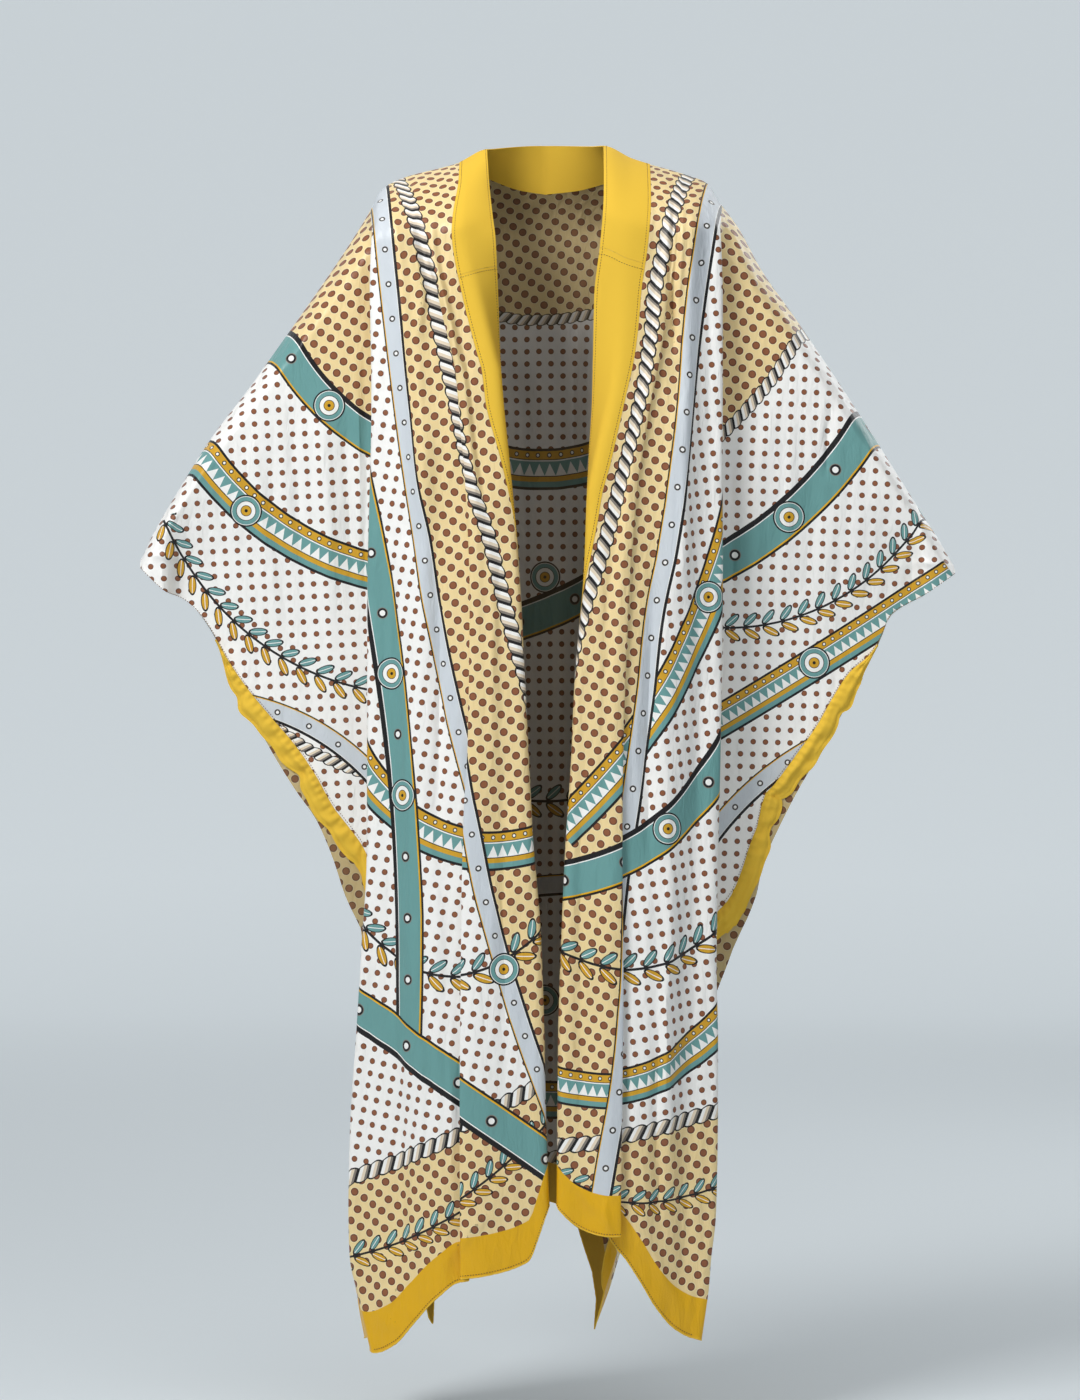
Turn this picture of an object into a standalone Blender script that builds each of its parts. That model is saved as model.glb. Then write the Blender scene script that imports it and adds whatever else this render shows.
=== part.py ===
"""Kimono coat: open fronts, batwing sleeves cut in one with the body, and a band round the neck and down both fronts.

The coat hangs as it is worn, with the arms held out and down. X runs to the wearer's left, Y to the back and Z up.
The origin is the middle of the neck opening, on the line between the two neck points, where the shoulders carry it.
"""

import functools
import math
from collections import namedtuple

import bmesh
import bpy
import numpy as np

# Driving sizes, in millimetres, as the tables below
MM = 0.001
WALL = 1.2
SEAM_GAP = 0.3
BAND_WIDTH = 56.0
SLEEVE_BAND_WIDTH = 23.0
SLEEVE_BAND_PUFF = 5.0
SLEEVE_BAND_TIP = 0.25
SLEEVE_BAND_WAVE = 0.25
SLEEVE_BAND_WAVE_TURN = 2.4
SLEEVE_BAND_CROWN = 1.2
ROLL_WIDTH = 24.0
LAYER_GAP = WALL + SEAM_GAP
HALF_WIDTH = 210.0
COLLAR_RISE = 14.0
COLLAR_LEAN = 16.0
PLEAT_CLEAR = 8.0

# How the cloth rounds off: over the shoulder, towards the body's sides, and where an edge is shaded as sharp
SHOULDER_CURVE = 1.6
SHOULDER_FULLNESS = 0.8
SIDE_CURVE = 2.4
SHARP_ANGLE = 40.0

# How many cells each stretch of cloth has, from the front edge to the wrist and from the shoulder to the hem
BAND_CELLS = 5
FRONT_CELLS = {"roll": 4, "centre": 3, "pleat": 6, "outer": 4, "fold": 8, "inside": 2, "sleeve": 12}
SLEEVE_BAND_CELLS = 8
BACK_CELLS = {"yoke": 4, "outer": 5, "fold": 8, "inside": 2, "sleeve": 12}
UPPER_ROWS = 13
LOWER_ROWS = 7
ROW_GROWTH = 1.6
BAND_SEAM = np.s_[:, 0]

# A point of the cloth has a place across it and a row down it. On a front the places are: 0 the band's free edge,
# 1 the band's seam, 2 the end of the rolled edge, 3 and 4 the pleat, 5 and 6 the side fold, 7 the side seam and
# 8 the wrist. The back starts at 2, its centre, and has its neck corner at 3. Rows: 0 on the shoulder, 1 at the
# underarm or the sleeve's lower edge, and 2 at the hem.
CENTRE_BACK = 2
NECK_CORNER = 3
SIDE_SEAM = 7
WRIST = 8
UNDERARM = 1
HEM = 2
TINY = 0.001

# How finely the turn of the front edge is worked out, and how often a point is brought back onto its line
ROLL_STEPS = 97
SETTLING_ROUNDS = 12

# The ridge along shoulder and arm, by distance from the middle: drop below the neck point, the arm's half
# thickness, and the height over which the cloth rounds down from the ridge
Ridge = namedtuple("Ridge", "out drop arm rounding")
RIDGES = {
    "right": [
        Ridge(0, -7, 60, 95),
        Ridge(69, -3, 60, 95),
        Ridge(103, 13, 60, 92),
        Ridge(174, 33, 60, 78),
        Ridge(195, 47, 58, 66),
        Ridge(204, 65, 57, 60),
        Ridge(229, 106, 53, 53),
        Ridge(266, 161, 47, 47),
        Ridge(314, 229, 42, 42),
        Ridge(351, 281, 38, 38),
        Ridge(395, 339, 34, 34),
        Ridge(438, 408, 31, 31),
        Ridge(464, 453, 28, 28),
        Ridge(477, 481, 27, 27),
    ],
    "left": [
        Ridge(0, -7, 60, 95),
        Ridge(69, -7, 60, 95),
        Ridge(103, 8, 60, 92),
        Ridge(160, 25, 60, 80),
        Ridge(190, 36, 58, 68),
        Ridge(208, 62, 56, 60),
        Ridge(228, 89, 53, 53),
        Ridge(256, 140, 49, 49),
        Ridge(294, 194, 44, 44),
        Ridge(330, 247, 40, 40),
        Ridge(367, 303, 36, 36),
        Ridge(405, 363, 33, 33),
        Ridge(442, 422, 30, 30),
        Ridge(468, 463, 28, 28),
        Ridge(483, 489, 27, 27),
    ],
}

# The front edge by height: where it shows, how far from the band seam it rolls, how far it turns, and its easing
Opening = namedtuple("Opening", "drop edge roll turn ease")
OPENINGS = {
    "right": [
        Opening(-10, 69, 2, 58, 15),
        Opening(40, 66, 3, 54, 15),
        Opening(87, 61, 8, 38, 15),
        Opening(110, 58, 10, 30, 15),
        Opening(180, 55, 18, 55, 15),
        Opening(239, 53, 20, 80, 15),
        Opening(297, 49, 20, 100, 15),
        Opening(367, 42, 10, 108, 25),
        Opening(461, 33, -3, 112, 30),
        Opening(531, 28, -12, 115, 38),
        Opening(693, 20, -16, 118, 42),
        Opening(807, 14, -18, 120, 45),
        Opening(917, 5, -20, 120, 45),
        Opening(1032, 1, -20, 120, 45),
        Opening(1126, -1, -20, 120, 45),
        Opening(1240, -5, -20, 120, 45),
    ],
    "left": [
        Opening(-10, 69, 20, 15, 15),
        Opening(63, 68, 20, 12, 15),
        Opening(116, 64, 25, 10, 15),
        Opening(180, 57, 20, 20, 15),
        Opening(239, 56, 18, 36, 15),
        Opening(297, 55, 16, 58, 15),
        Opening(367, 51, 18, 80, 18),
        Opening(426, 48, 14, 95, 22),
        Opening(484, 46, 6, 105, 26),
        Opening(531, 43, -3, 110, 30),
        Opening(578, 38, -10, 112, 36),
        Opening(627, 34, -14, 115, 40),
        Opening(718, 30, -16, 118, 42),
        Opening(824, 23, -18, 120, 45),
        Opening(937, 18, -20, 120, 45),
        Opening(1032, 15, -20, 120, 45),
        Opening(1126, 14, -20, 120, 45),
        Opening(1240, 13, -20, 120, 45),
    ],
}

# The inner pleat of each front: from start to end it turns back by its throw, and the middle stands proud by lift
Pleat = namedtuple("Pleat", "drop start end throw lift")
PLEATS = {
    "right": [
        Pleat(40, 128, 152, 0, 0),
        Pleat(130, 122, 144, 1, 5),
        Pleat(215, 94, 115, 3, 8),
        Pleat(370, 84, 104, 3.5, 8),
        Pleat(530, 78, 96, 3.5, 8),
        Pleat(700, 80, 97, 4.5, 9),
        Pleat(775, 84, 98, 6, 10),
        Pleat(900, 86, 97, 8, 11),
        Pleat(1126, 88, 98, 8, 12),
        Pleat(1320, 88, 98, 7.5, 12),
    ],
    "left": [
        Pleat(40, 142, 162, 0, 0),
        Pleat(130, 140, 160, 1, 4),
        Pleat(215, 126, 145, 3, 7),
        Pleat(370, 101, 120, 3, 7),
        Pleat(530, 88, 106, 3.5, 8),
        Pleat(700, 82, 97, 4, 8),
        Pleat(850, 80, 92, 6, 10),
        Pleat(1000, 78, 90, 9, 12),
        Pleat(1230, 75, 86, 9.5, 12),
    ],
}

# The deep fold under each arm, between the body and the cloth that runs out to the sleeve, and the side seam
Fold = namedtuple("Fold", "drop start end throw seam")
FRONT_FOLDS = {
    "right": [
        Fold(40, 190, 225, 0, 245),
        Fold(65, 190, 222, 0, 240),
        Fold(110, 190, 212, 6, 228),
        Fold(180, 188, 204, 12, 220),
        Fold(300, 187, 198, 12.5, 214),
        Fold(531, 192, 201, 13, 212),
        Fold(835, 193, 200, 13.5, 209),
        Fold(937, 199, 205, 14, 214),
        Fold(1032, 205, 208, 14.5, 217),
        Fold(1126, 211, 211, 16, 220),
        Fold(1230, 215, 214, 15, 222),
        Fold(1300, 216, 217, 12, 224),
        Fold(1350, 210, 216, 6, 222),
        Fold(1410, 200, 206, 2, 212),
    ],
    "left": [
        Fold(40, 192, 225, 0, 245),
        Fold(62, 193, 224, 0, 243),
        Fold(110, 193, 213, 6, 230),
        Fold(180, 191, 206, 12, 222),
        Fold(300, 191, 202, 13, 216),
        Fold(531, 192, 200, 13, 212),
        Fold(700, 190, 197, 13, 207),
        Fold(901, 186, 192, 13, 201),
        Fold(954, 187, 190, 12, 200),
        Fold(1050, 192, 166, 15.5, 171),
        Fold(1144, 189, 136, 24, 142),
        Fold(1250, 185, 101, 32, 106),
        Fold(1300, 178, 84, 35.5, 89),
        Fold(1338, 174, 72, 38, 78),
        Fold(1393, 170, 54, 36, 58),
    ],
}
BACK_FOLDS = {
    "right": [
        Fold(40, 186, 225, 0, 245),
        Fold(65, 186, 222, 0, 240),
        Fold(110, 184, 212, 5, 228),
        Fold(180, 182, 204, 10, 220),
        Fold(300, 180, 198, 11, 214),
        Fold(531, 184, 201, 12, 212),
        Fold(835, 186, 200, 13, 209),
        Fold(937, 192, 205, 13, 214),
        Fold(1126, 204, 211, 14, 220),
        Fold(1230, 209, 215, 15, 222),
        Fold(1300, 214, 218, 16, 224),
        Fold(1350, 211, 217, 14, 222),
        Fold(1410, 198, 206, 5, 212),
    ],
    "left": [
        Fold(40, 188, 225, 0, 245),
        Fold(62, 188, 224, 0, 243),
        Fold(110, 186, 213, 5, 230),
        Fold(180, 184, 206, 10, 222),
        Fold(300, 184, 202, 11, 216),
        Fold(531, 185, 200, 12, 212),
        Fold(700, 183, 197, 12, 207),
        Fold(901, 180, 192, 12, 201),
        Fold(954, 180, 186, 12.5, 200),
        Fold(1050, 179, 155, 21, 171),
        Fold(1144, 175, 110, 31, 142),
        Fold(1250, 165, 52, 42, 106),
        Fold(1300, 159, 32, 48, 89),
        Fold(1338, 156, 30, 46, 78),
        Fold(1393, 153, 30, 42, 58),
    ],
}

# How far the cloth stands before and behind the shoulder line, and the hidden layer beside the side seam
Depth = namedtuple("Depth", "drop front front_side back back_side layer")
DEPTHS = [
    Depth(0, 118, 74, 96, 64, 55),
    Depth(250, 120, 76, 102, 66, 50),
    Depth(450, 117, 74, 100, 62, 44),
    Depth(700, 119, 72, 103, 62, 34),
    Depth(1000, 125, 72, 110, 66, 27),
    Depth(1410, 131, 70, 118, 70, 25),
]

# The lower edge of each sleeve: the stitched line, and the free edge of the back that hangs below it
SleeveEdge = namedtuple("SleeveEdge", "out stitched back")
SLEEVE_EDGES = {
    "right": [
        SleeveEdge(209, 835, 945),
        SleeveEdge(215, 822, 926),
        SleeveEdge(237, 792, 878),
        SleeveEdge(250, 775, 838),
        SleeveEdge(270, 739, 791),
        SleeveEdge(295, 702, 755),
        SleeveEdge(324, 668, 708),
        SleeveEdge(352, 634, 655),
        SleeveEdge(374, 602, 610),
        SleeveEdge(388, 577, 579),
        SleeveEdge(401, 556, 557),
        SleeveEdge(418, 536, 536),
        SleeveEdge(433, 526, 526),
        SleeveEdge(444, 522, 522),
        SleeveEdge(477, 492, 492),
    ],
    "left": [
        SleeveEdge(200, 901, 999),
        SleeveEdge(210, 892, 978),
        SleeveEdge(220, 879, 948),
        SleeveEdge(233, 848, 919),
        SleeveEdge(242, 819, 900),
        SleeveEdge(253, 790, 868),
        SleeveEdge(258, 762, 840),
        SleeveEdge(269, 750, 815),
        SleeveEdge(298, 711, 757),
        SleeveEdge(322, 677, 716),
        SleeveEdge(340, 645, 685),
        SleeveEdge(360, 615, 648),
        SleeveEdge(384, 594, 603),
        SleeveEdge(397, 574, 576),
        SleeveEdge(408, 548, 549),
        SleeveEdge(446, 525, 525),
        SleeveEdge(466, 511, 511),
        SleeveEdge(483, 499, 499),
    ],
}

# The row of the band's cross seam on each side, and where the sleeve opens from its stitched line into the cuff
CROSS_SEAM = {"right": 0.337, "left": 0.298}
CUFF_CLOSED = 432
CUFF_OPEN = 450

# The hem, by place across the cloth
Hem = namedtuple("Hem", "place drop")
FRONT_HEMS = {
    "right": [
        Hem(0, 1205),
        Hem(1, 1218),
        Hem(1.5, 1238),
        Hem(1.75, 1268),
        Hem(2, 1296),
        Hem(2.5, 1309),
        Hem(3, 1315),
        Hem(4, 1321),
        Hem(4.25, 1341),
        Hem(4.5, 1371),
        Hem(4.75, 1398),
        Hem(5, 1409),
        Hem(5.5, 1404),
        Hem(6, 1398),
        Hem(7, 1402),
    ],
    "left": [
        Hem(0, 1205),
        Hem(1, 1215),
        Hem(1.5, 1236),
        Hem(2, 1256),
        Hem(2.5, 1264),
        Hem(3, 1267),
        Hem(3.7, 1267),
        Hem(4, 1286),
        Hem(4.25, 1318),
        Hem(4.5, 1353),
        Hem(4.75, 1377),
        Hem(5, 1389),
        Hem(5.2, 1393),
        Hem(5.4, 1335),
        Hem(5.6, 1262),
        Hem(5.75, 1262),
        Hem(6, 1345),
        Hem(7, 1392),
    ],
}
BACK_HEMS = {
    "right": [
        Hem(2, 1251),
        Hem(2.5, 1282),
        Hem(3, 1303),
        Hem(3.6, 1330),
        Hem(4, 1392),
        Hem(4.3, 1372),
        Hem(5, 1392),
        Hem(6, 1398),
        Hem(7, 1402),
    ],
    "left": [
        Hem(2, 1251),
        Hem(2.5, 1268),
        Hem(3, 1285),
        Hem(4, 1297),
        Hem(5, 1312),
        Hem(5.3, 1318),
        Hem(5.7, 1256),
        Hem(6, 1275),
        Hem(6.5, 1325),
        Hem(7, 1392),
    ],
}

# The back neckline, where the neck band is sewn on: its dip below its corners, by its share of their distance
Neckline = namedtuple("Neckline", "share dip")
NECKLINE = [Neckline(0, 29), Neckline(0.3, 25), Neckline(0.6, 16), Neckline(0.85, 6), Neckline(1, 0)]

# Soft standing folds: where a fold is at its top and at its low end, and its half width and height. A height below
# nought makes a trough. On the back, distances to the wearer's right are below nought.
Crease = namedtuple("Crease", "top low drop_top drop_low width height")
FRONT_CREASES = {
    "right": [
        Crease(160, 142, 60, 420, 13, 8),
        Crease(140, 158, 330, 1100, 16, 7),
        Crease(182, 176, 500, 1300, 12, -6),
        Crease(130, 120, 800, 1380, 12, 6),
    ],
    "left": [
        Crease(172, 158, 60, 520, 12, 8),
        Crease(150, 136, 300, 1150, 15, 7),
        Crease(182, 160, 600, 1320, 12, -6),
        Crease(118, 112, 850, 1280, 11, 6),
    ],
}
BACK_CREASES = [
    Crease(-160, -176, 380, 1380, 13, -9),
    Crease(-112, -134, 200, 1400, 17, 14),
    Crease(-88, -86, 420, 1330, 15, -12),
    Crease(-30, -44, 260, 1290, 18, 12),
    Crease(16, 10, 500, 1260, 14, -9),
    Crease(62, 56, 220, 1300, 19, 13),
    Crease(110, 98, 460, 1310, 15, -12),
    Crease(148, 132, 180, 1310, 17, 12),
]
SLEEVE_CREASES = [
    Crease(262, 250, 300, 700, 13, 5),
    Crease(318, 300, 380, 640, 12, -4),
    Crease(372, 356, 420, 600, 11, 4),
]
CREASE_FADE = 90.0

SIDES = {"right": -1.0, "left": 1.0}
SLEEVE_END = {side: rows[-1].out for side, rows in RIDGES.items()}


def read(rows, column, at):
    """Reads a column of a table at any value of its first column, on a smooth curve that never overshoots a row."""
    known = np.array([row[0] for row in rows], float)
    value = np.array([getattr(row, column) for row in rows], float)
    rise = np.diff(value) / np.diff(known)
    slope = np.zeros(len(known))
    same_way = rise[:-1] * rise[1:] > 0
    slope[1:-1][same_way] = 2 * rise[:-1][same_way] * rise[1:][same_way] / (rise[:-1] + rise[1:])[same_way]
    slope[0], slope[-1] = rise[0], rise[-1]
    at = np.clip(np.asarray(at, float), known[0], known[-1])
    row = np.clip(np.searchsorted(known, at, side="right") - 1, 0, len(known) - 2)
    step = known[row + 1] - known[row]
    t = (at - known[row]) / step
    return (
        (2 * t**3 - 3 * t**2 + 1) * value[row]
        + (t**3 - 2 * t**2 + t) * step * slope[row]
        + (3 * t**2 - 2 * t**3) * value[row + 1]
        + (t**3 - t**2) * step * slope[row + 1]
    )


def ease(t):
    """Goes from 0 to 1 with a soft start and a soft end."""
    t = np.clip(t, 0, 1)
    return t * t * (3 - 2 * t)


def between(a, b, t):
    return a + (b - a) * t


def rounding(t):
    """The share of its full depth that the cloth has reached on its way over the shoulder or the arm."""
    t = np.clip(t, 0, 1)
    return (1 - (1 - t) ** SHOULDER_CURVE) ** SHOULDER_FULLNESS


def folds_over(creases, out, drop):
    """How far the standing folds lift the cloth at a point."""
    lift = np.zeros(np.broadcast(out, drop).shape)
    for crease in creases:
        along = (drop - crease.drop_top) / (crease.drop_low - crease.drop_top)
        middle = between(crease.top, crease.low, along)
        shown = ease((drop - crease.drop_top) / CREASE_FADE + 0.5) * ease((crease.drop_low - drop) / CREASE_FADE + 0.5)
        lift = lift + crease.height * shown * np.exp(-(((out - middle) / crease.width) ** 2))
    return lift


def body_depth(side, face, out, drop):
    """How far the body of the coat stands out from the shoulder line, below the rounding of the shoulder."""
    middle = read(DEPTHS, face, drop)
    edge = read(DEPTHS, face + "_side", drop)
    depth = edge + (middle - edge) * (1 - (np.clip(out, 0, HALF_WIDTH) / HALF_WIDTH) ** SIDE_CURVE)
    if face == "front":
        return depth + folds_over(FRONT_CREASES[side], out, drop)
    return depth + folds_over(BACK_CREASES, SIDES[side] * out, drop)


def over_shoulder(side, out, drop):
    ridge = read(RIDGES[side], "drop", out)
    return rounding((drop - ridge) / read(RIDGES[side], "rounding", out))


def sleeve_depth(side, out, drop):
    """A sleeve's half thickness: full under the arm, closing to the stitched line, and open again at the cuff."""
    ridge = read(RIDGES[side], "drop", out)
    stitched = read(SLEEVE_EDGES[side], "stitched", out)
    closing = ease((drop - ridge) / (stitched - ridge)) * (1 - ease((out - CUFF_CLOSED) / (CUFF_OPEN - CUFF_CLOSED)))
    full = read(RIDGES[side], "arm", out) + folds_over(SLEEVE_CREASES, out, drop)
    return between(full * over_shoulder(side, out, drop), LAYER_GAP / 2, closing)


def roll_of_edge(side, across, drop):
    """The front edge in plan, where across runs from 1 at its free edge to 0 at the seam and on into the front.

    Returns how far out it lies, and how far it has turned in behind the front.
    """
    opening = {name: read(OPENINGS[side], name, drop)[..., None] for name in Opening._fields[1:]}
    steps = np.linspace(0, 1, ROLL_STEPS)
    run = between(-opening["ease"], BAND_WIDTH, steps)
    angle = np.radians(opening["turn"]) * ease((run - opening["roll"]) / ROLL_WIDTH + 0.5)
    length = (BAND_WIDTH + opening["ease"]) / (len(steps) - 1)
    out = -np.cumsum(np.cos(angle), axis=-1) * length
    back = np.cumsum(np.sin(angle), axis=-1) * length
    out = out - out.min(axis=-1, keepdims=True) + opening["edge"]
    place = np.clip((across * BAND_WIDTH + opening["ease"][..., 0]) / (BAND_WIDTH + opening["ease"][..., 0]), 0, 1)
    place = place * (len(steps) - 1)
    low = np.clip(np.floor(place).astype(int), 0, len(steps) - 2)
    part = (place - low)[..., None]

    def pick(values):
        first = np.take_along_axis(values, low[..., None], axis=-1)
        second = np.take_along_axis(values, low[..., None] + 1, axis=-1)
        return between(first, second, part)[..., 0]

    return pick(out), pick(back)


def turned(start, end, throw, t):
    """A fold laid back on itself: it runs past its start, back under by its throw, and on again to its end."""
    return between(start, end, t) - throw * np.sin(math.pi * (2 * t - 1))


def front_at(side, place, drop):
    """A point of a front, at its place across the cloth and its height: how far out it is, and how far forward."""
    place, drop = np.broadcast_arrays(np.asarray(place, float), np.asarray(drop, float))
    ease_length = read(OPENINGS[side], "ease", drop)
    across = np.where(place < 1, 1 - place, -(place - 1) * ease_length / BAND_WIDTH)
    rolled, behind = roll_of_edge(side, across, drop)
    roll_end, _ = roll_of_edge(side, -ease_length / BAND_WIDTH, drop)
    pleat = {name: read(PLEATS[side], name, drop) for name in Pleat._fields[1:]}
    pleat["start"] = np.maximum(pleat["start"], roll_end + PLEAT_CLEAR)
    pleat["end"] = np.maximum(pleat["end"], pleat["start"] + PLEAT_CLEAR)
    fold = {name: read(FRONT_FOLDS[side], name, drop) for name in Fold._fields[1:]}
    choices = [place < 2, place < 3, place < 4, place < 5]
    inside = side_at(side, "front", fold, place, drop)
    out = np.select(
        choices,
        [
            rolled,
            between(roll_end, pleat["start"], place - 2),
            turned(pleat["start"], pleat["end"], pleat["throw"], place - 3),
            between(pleat["end"], fold["start"], place - 4),
        ],
        inside[0],
    )
    proud = np.select(
        choices,
        [0 * drop, ease(place - 2), 1 - ease(place - 3), 0 * drop],
        0,
    )
    depth = body_depth(side, "front", np.maximum(out, 0), drop) + proud * pleat["lift"]
    depth = (depth - np.where(place < 2, behind, 0)) * over_shoulder(side, out, drop)
    return out, np.where(place < 5, depth, inside[1])


def back_at(side, place, drop):
    """A point of one half of the back: how far out it is, and how far behind the shoulder line."""
    place, drop = np.broadcast_arrays(np.asarray(place, float), np.asarray(drop, float))
    fold = {name: read(BACK_FOLDS[side], name, drop) for name in Fold._fields[1:]}
    inside = side_at(side, "back", fold, place, drop)
    corner = neck_corner(side)[0]
    out = np.select(
        [place < 3, place < 5],
        [corner * (place - 2), between(corner, fold["start"], (place - 3) / 2)],
        inside[0],
    )
    depth = body_depth(side, "back", out, drop) * over_shoulder(side, out, drop)
    return out, np.where(place < 5, depth, inside[1])


def side_at(side, face, fold, place, drop):
    """The cloth from the side fold to the wrist, on either face of the coat."""
    folded = turned(fold["start"], fold["end"], fold["throw"], np.clip(place - 5, 0, 1))
    inside = between(fold["end"], fold["seam"], place - 6)
    sleeve = between(fold["seam"], SLEEVE_END[side], place - 7)
    out = np.select([place < 6, place < 7], [folded, inside], sleeve)
    before = body_depth(side, face, fold["start"], drop)
    layer = read(DEPTHS, "layer", drop)
    rounded = over_shoulder(side, out, drop)
    at_seam = np.where(drop > SLEEVE_EDGES[side][0].stitched, LAYER_GAP / 2, sleeve_depth(side, out, drop))
    depth = np.select(
        [place < 6, place < 7],
        [between(before, layer, ease(place - 5)) * rounded, between(layer * rounded, at_seam, ease(place - 6))],
        at_seam,
    )
    return out, depth


@functools.cache
def neck_corner(side):
    """Where the neck band's seam crosses the shoulder ridge: how far out, and its drop."""
    drop = top_drop(side, front_at, np.array(1.0))
    return float(front_at(side, 1.0, drop)[0]), float(drop)


def top_drop(side, at, place):
    """Where a line of the cloth's grain meets the ridge of shoulder and arm."""
    drop = np.zeros(np.shape(place))
    for _ in range(SETTLING_ROUNDS):
        out = at(side, place, drop)[0]
        drop = read(RIDGES[side], "drop", np.abs(out))
    return drop


def panel(side, face, place, row):
    """A point of a front or of half the back, in millimetres: rows 0 to 1 end at the underarm, and 1 to 2 at the hem."""
    place, row = np.broadcast_arrays(np.asarray(place, float), np.asarray(row, float))
    at = front_at if face == "front" else back_at
    edge = "stitched" if face == "front" else "back"
    top = top_drop(side, at, place)
    if face == "back":
        corner = neck_corner(side)[1]
        middle = (neck_corner("right")[1] + neck_corner("left")[1]) / 2
        neckline = between(middle, corner, place - 2) + read(NECKLINE, "dip", place - 2)
        top = np.where(place < NECK_CORNER, neckline, top)
    underarm = getattr(SLEEVE_EDGES[side][0], edge)
    folds = FRONT_FOLDS if face == "front" else BACK_FOLDS
    sleeve_low = np.full(place.shape, float(underarm))
    for _ in range(SETTLING_ROUNDS):
        seam = read(folds[side], "seam", sleeve_low)
        out = between(seam, SLEEVE_END[side], np.maximum(place - SIDE_SEAM, 0))
        sleeve_low = np.where(place > SIDE_SEAM, read(SLEEVE_EDGES[side], edge, out), underarm)
    hems = FRONT_HEMS if face == "front" else BACK_HEMS
    hem = read(hems[side], "drop", np.minimum(place, SIDE_SEAM))
    upper = between(top, sleeve_low, np.clip(row, 0, 1) ** ROW_GROWTH)
    drop = np.where(row > 1, between(sleeve_low, hem, row - 1), upper)
    out, depth = at(side, place, drop)
    way = -1.0 if face == "front" else 1.0
    return np.stack([SIDES[side] * out, way * np.maximum(depth, SEAM_GAP / 2), -drop], axis=-1)


def facing(side, face, place, row):
    """The cloth's normal towards the wearer, from the cloth on both sides of each point, and upright on the ridge."""
    step = 0.01
    shoulder = place > NECK_CORNER - TINY
    first = 0 if face == "front" else np.where(shoulder & (row == 0), NECK_CORNER, CENTRE_BACK)
    across = panel(side, face, np.minimum(place + step, np.where(row > UNDERARM, SIDE_SEAM, WRIST)), row)
    across = across - panel(side, face, np.maximum(place - step, first), row)
    along = panel(side, face, place, np.minimum(row + step, np.where(place > SIDE_SEAM, UNDERARM, HEM)))
    along = along - panel(side, face, place, np.maximum(row - step, 0))
    on_ridge = (row == 0) & (shoulder | (face == "front"))
    along = np.where(on_ridge[..., None], np.array([0.0, -1.0 if face == "front" else 1.0, 0.0]), along)
    normal = np.cross(across, along) * SIDES[side] * (1 if face == "front" else -1)
    return normal / np.maximum(np.linalg.norm(normal, axis=-1, keepdims=True), 1e-9)


def cell_places(cells, stretches):
    """The places across the cloth, with each stretch cut into its own number of cells."""
    places = []
    for name, (low, high) in stretches.items():
        places.extend(np.linspace(low, high, cells[name], endpoint=False))
    return np.array(places + [high])


def material(name, colour, roughness):
    made = bpy.data.materials.new(name)
    made.use_nodes = True
    shader = made.node_tree.nodes["Principled BSDF"]
    shader.inputs["Base Color"].default_value = (*colour, 1.0)
    shader.inputs["Roughness"].default_value = roughness
    shader.inputs["Metallic"].default_value = 0.0
    return made


def cloth_wall(name, points, normals, used, finish, collection):
    """Makes a closed wall of even thickness on a sheet of points, leaving out the cells that aren't used."""
    rows, columns = used.shape
    bm = bmesh.new()
    skins = []
    for way in (0.5, -0.5):
        moved = (points + normals * WALL * way) * MM
        skins.append([[bm.verts.new(p) for p in line] for line in moved])
    outer, inner = skins
    for j in range(rows):
        for i in range(columns):
            if not used[j, i]:
                continue
            ring = [(j, i), (j, i + 1), (j + 1, i + 1), (j + 1, i)]
            for half in (ring[:3], ring[2:] + ring[:1]):
                bm.faces.new([outer[a][b] for a, b in half])
                bm.faces.new([inner[a][b] for a, b in reversed(half)])
            beside = [(j - 1, i), (j, i + 1), (j + 1, i), (j, i - 1)]
            for k, (a, b) in enumerate(beside):
                if 0 <= a < rows and 0 <= b < columns and used[a, b]:
                    continue
                (a, b), (c, d) = sorted((ring[k], ring[(k + 1) % 4]))
                bm.faces.new([outer[a][b], outer[c][d], inner[c][d]])
                bm.faces.new([outer[a][b], inner[c][d], inner[a][b]])
    bmesh.ops.delete(bm, geom=[v for v in bm.verts if not v.link_faces], context="VERTS")
    bmesh.ops.recalc_face_normals(bm, faces=bm.faces)
    mesh = bpy.data.meshes.new(name)
    bm.to_mesh(mesh)
    bm.free()
    mesh.shade_smooth()
    mesh.set_sharp_from_angle(angle=math.radians(SHARP_ANGLE))
    mesh.materials.append(finish)
    made = bpy.data.objects.new(name, mesh)
    collection.objects.link(made)
    return made


def row_places(side=None):
    """The rows from the shoulder to the hem; on a front, one of them lies on the band's cross seam."""
    rows = np.concatenate([np.linspace(0, 1, UPPER_ROWS + 1), 1 + np.linspace(0, 1, LOWER_ROWS + 1)[1:]])
    if side:
        rows[np.argmin(np.abs(rows - CROSS_SEAM[side]))] = CROSS_SEAM[side]
    return rows


def open_seam(points, seam, beside):
    """Draws an edge of a piece back from its seam by half the gap, towards the points beside it."""
    step = points[beside] - points[seam]
    points[seam] += step / np.linalg.norm(step, axis=-1, keepdims=True) * SEAM_GAP / 2


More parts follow.
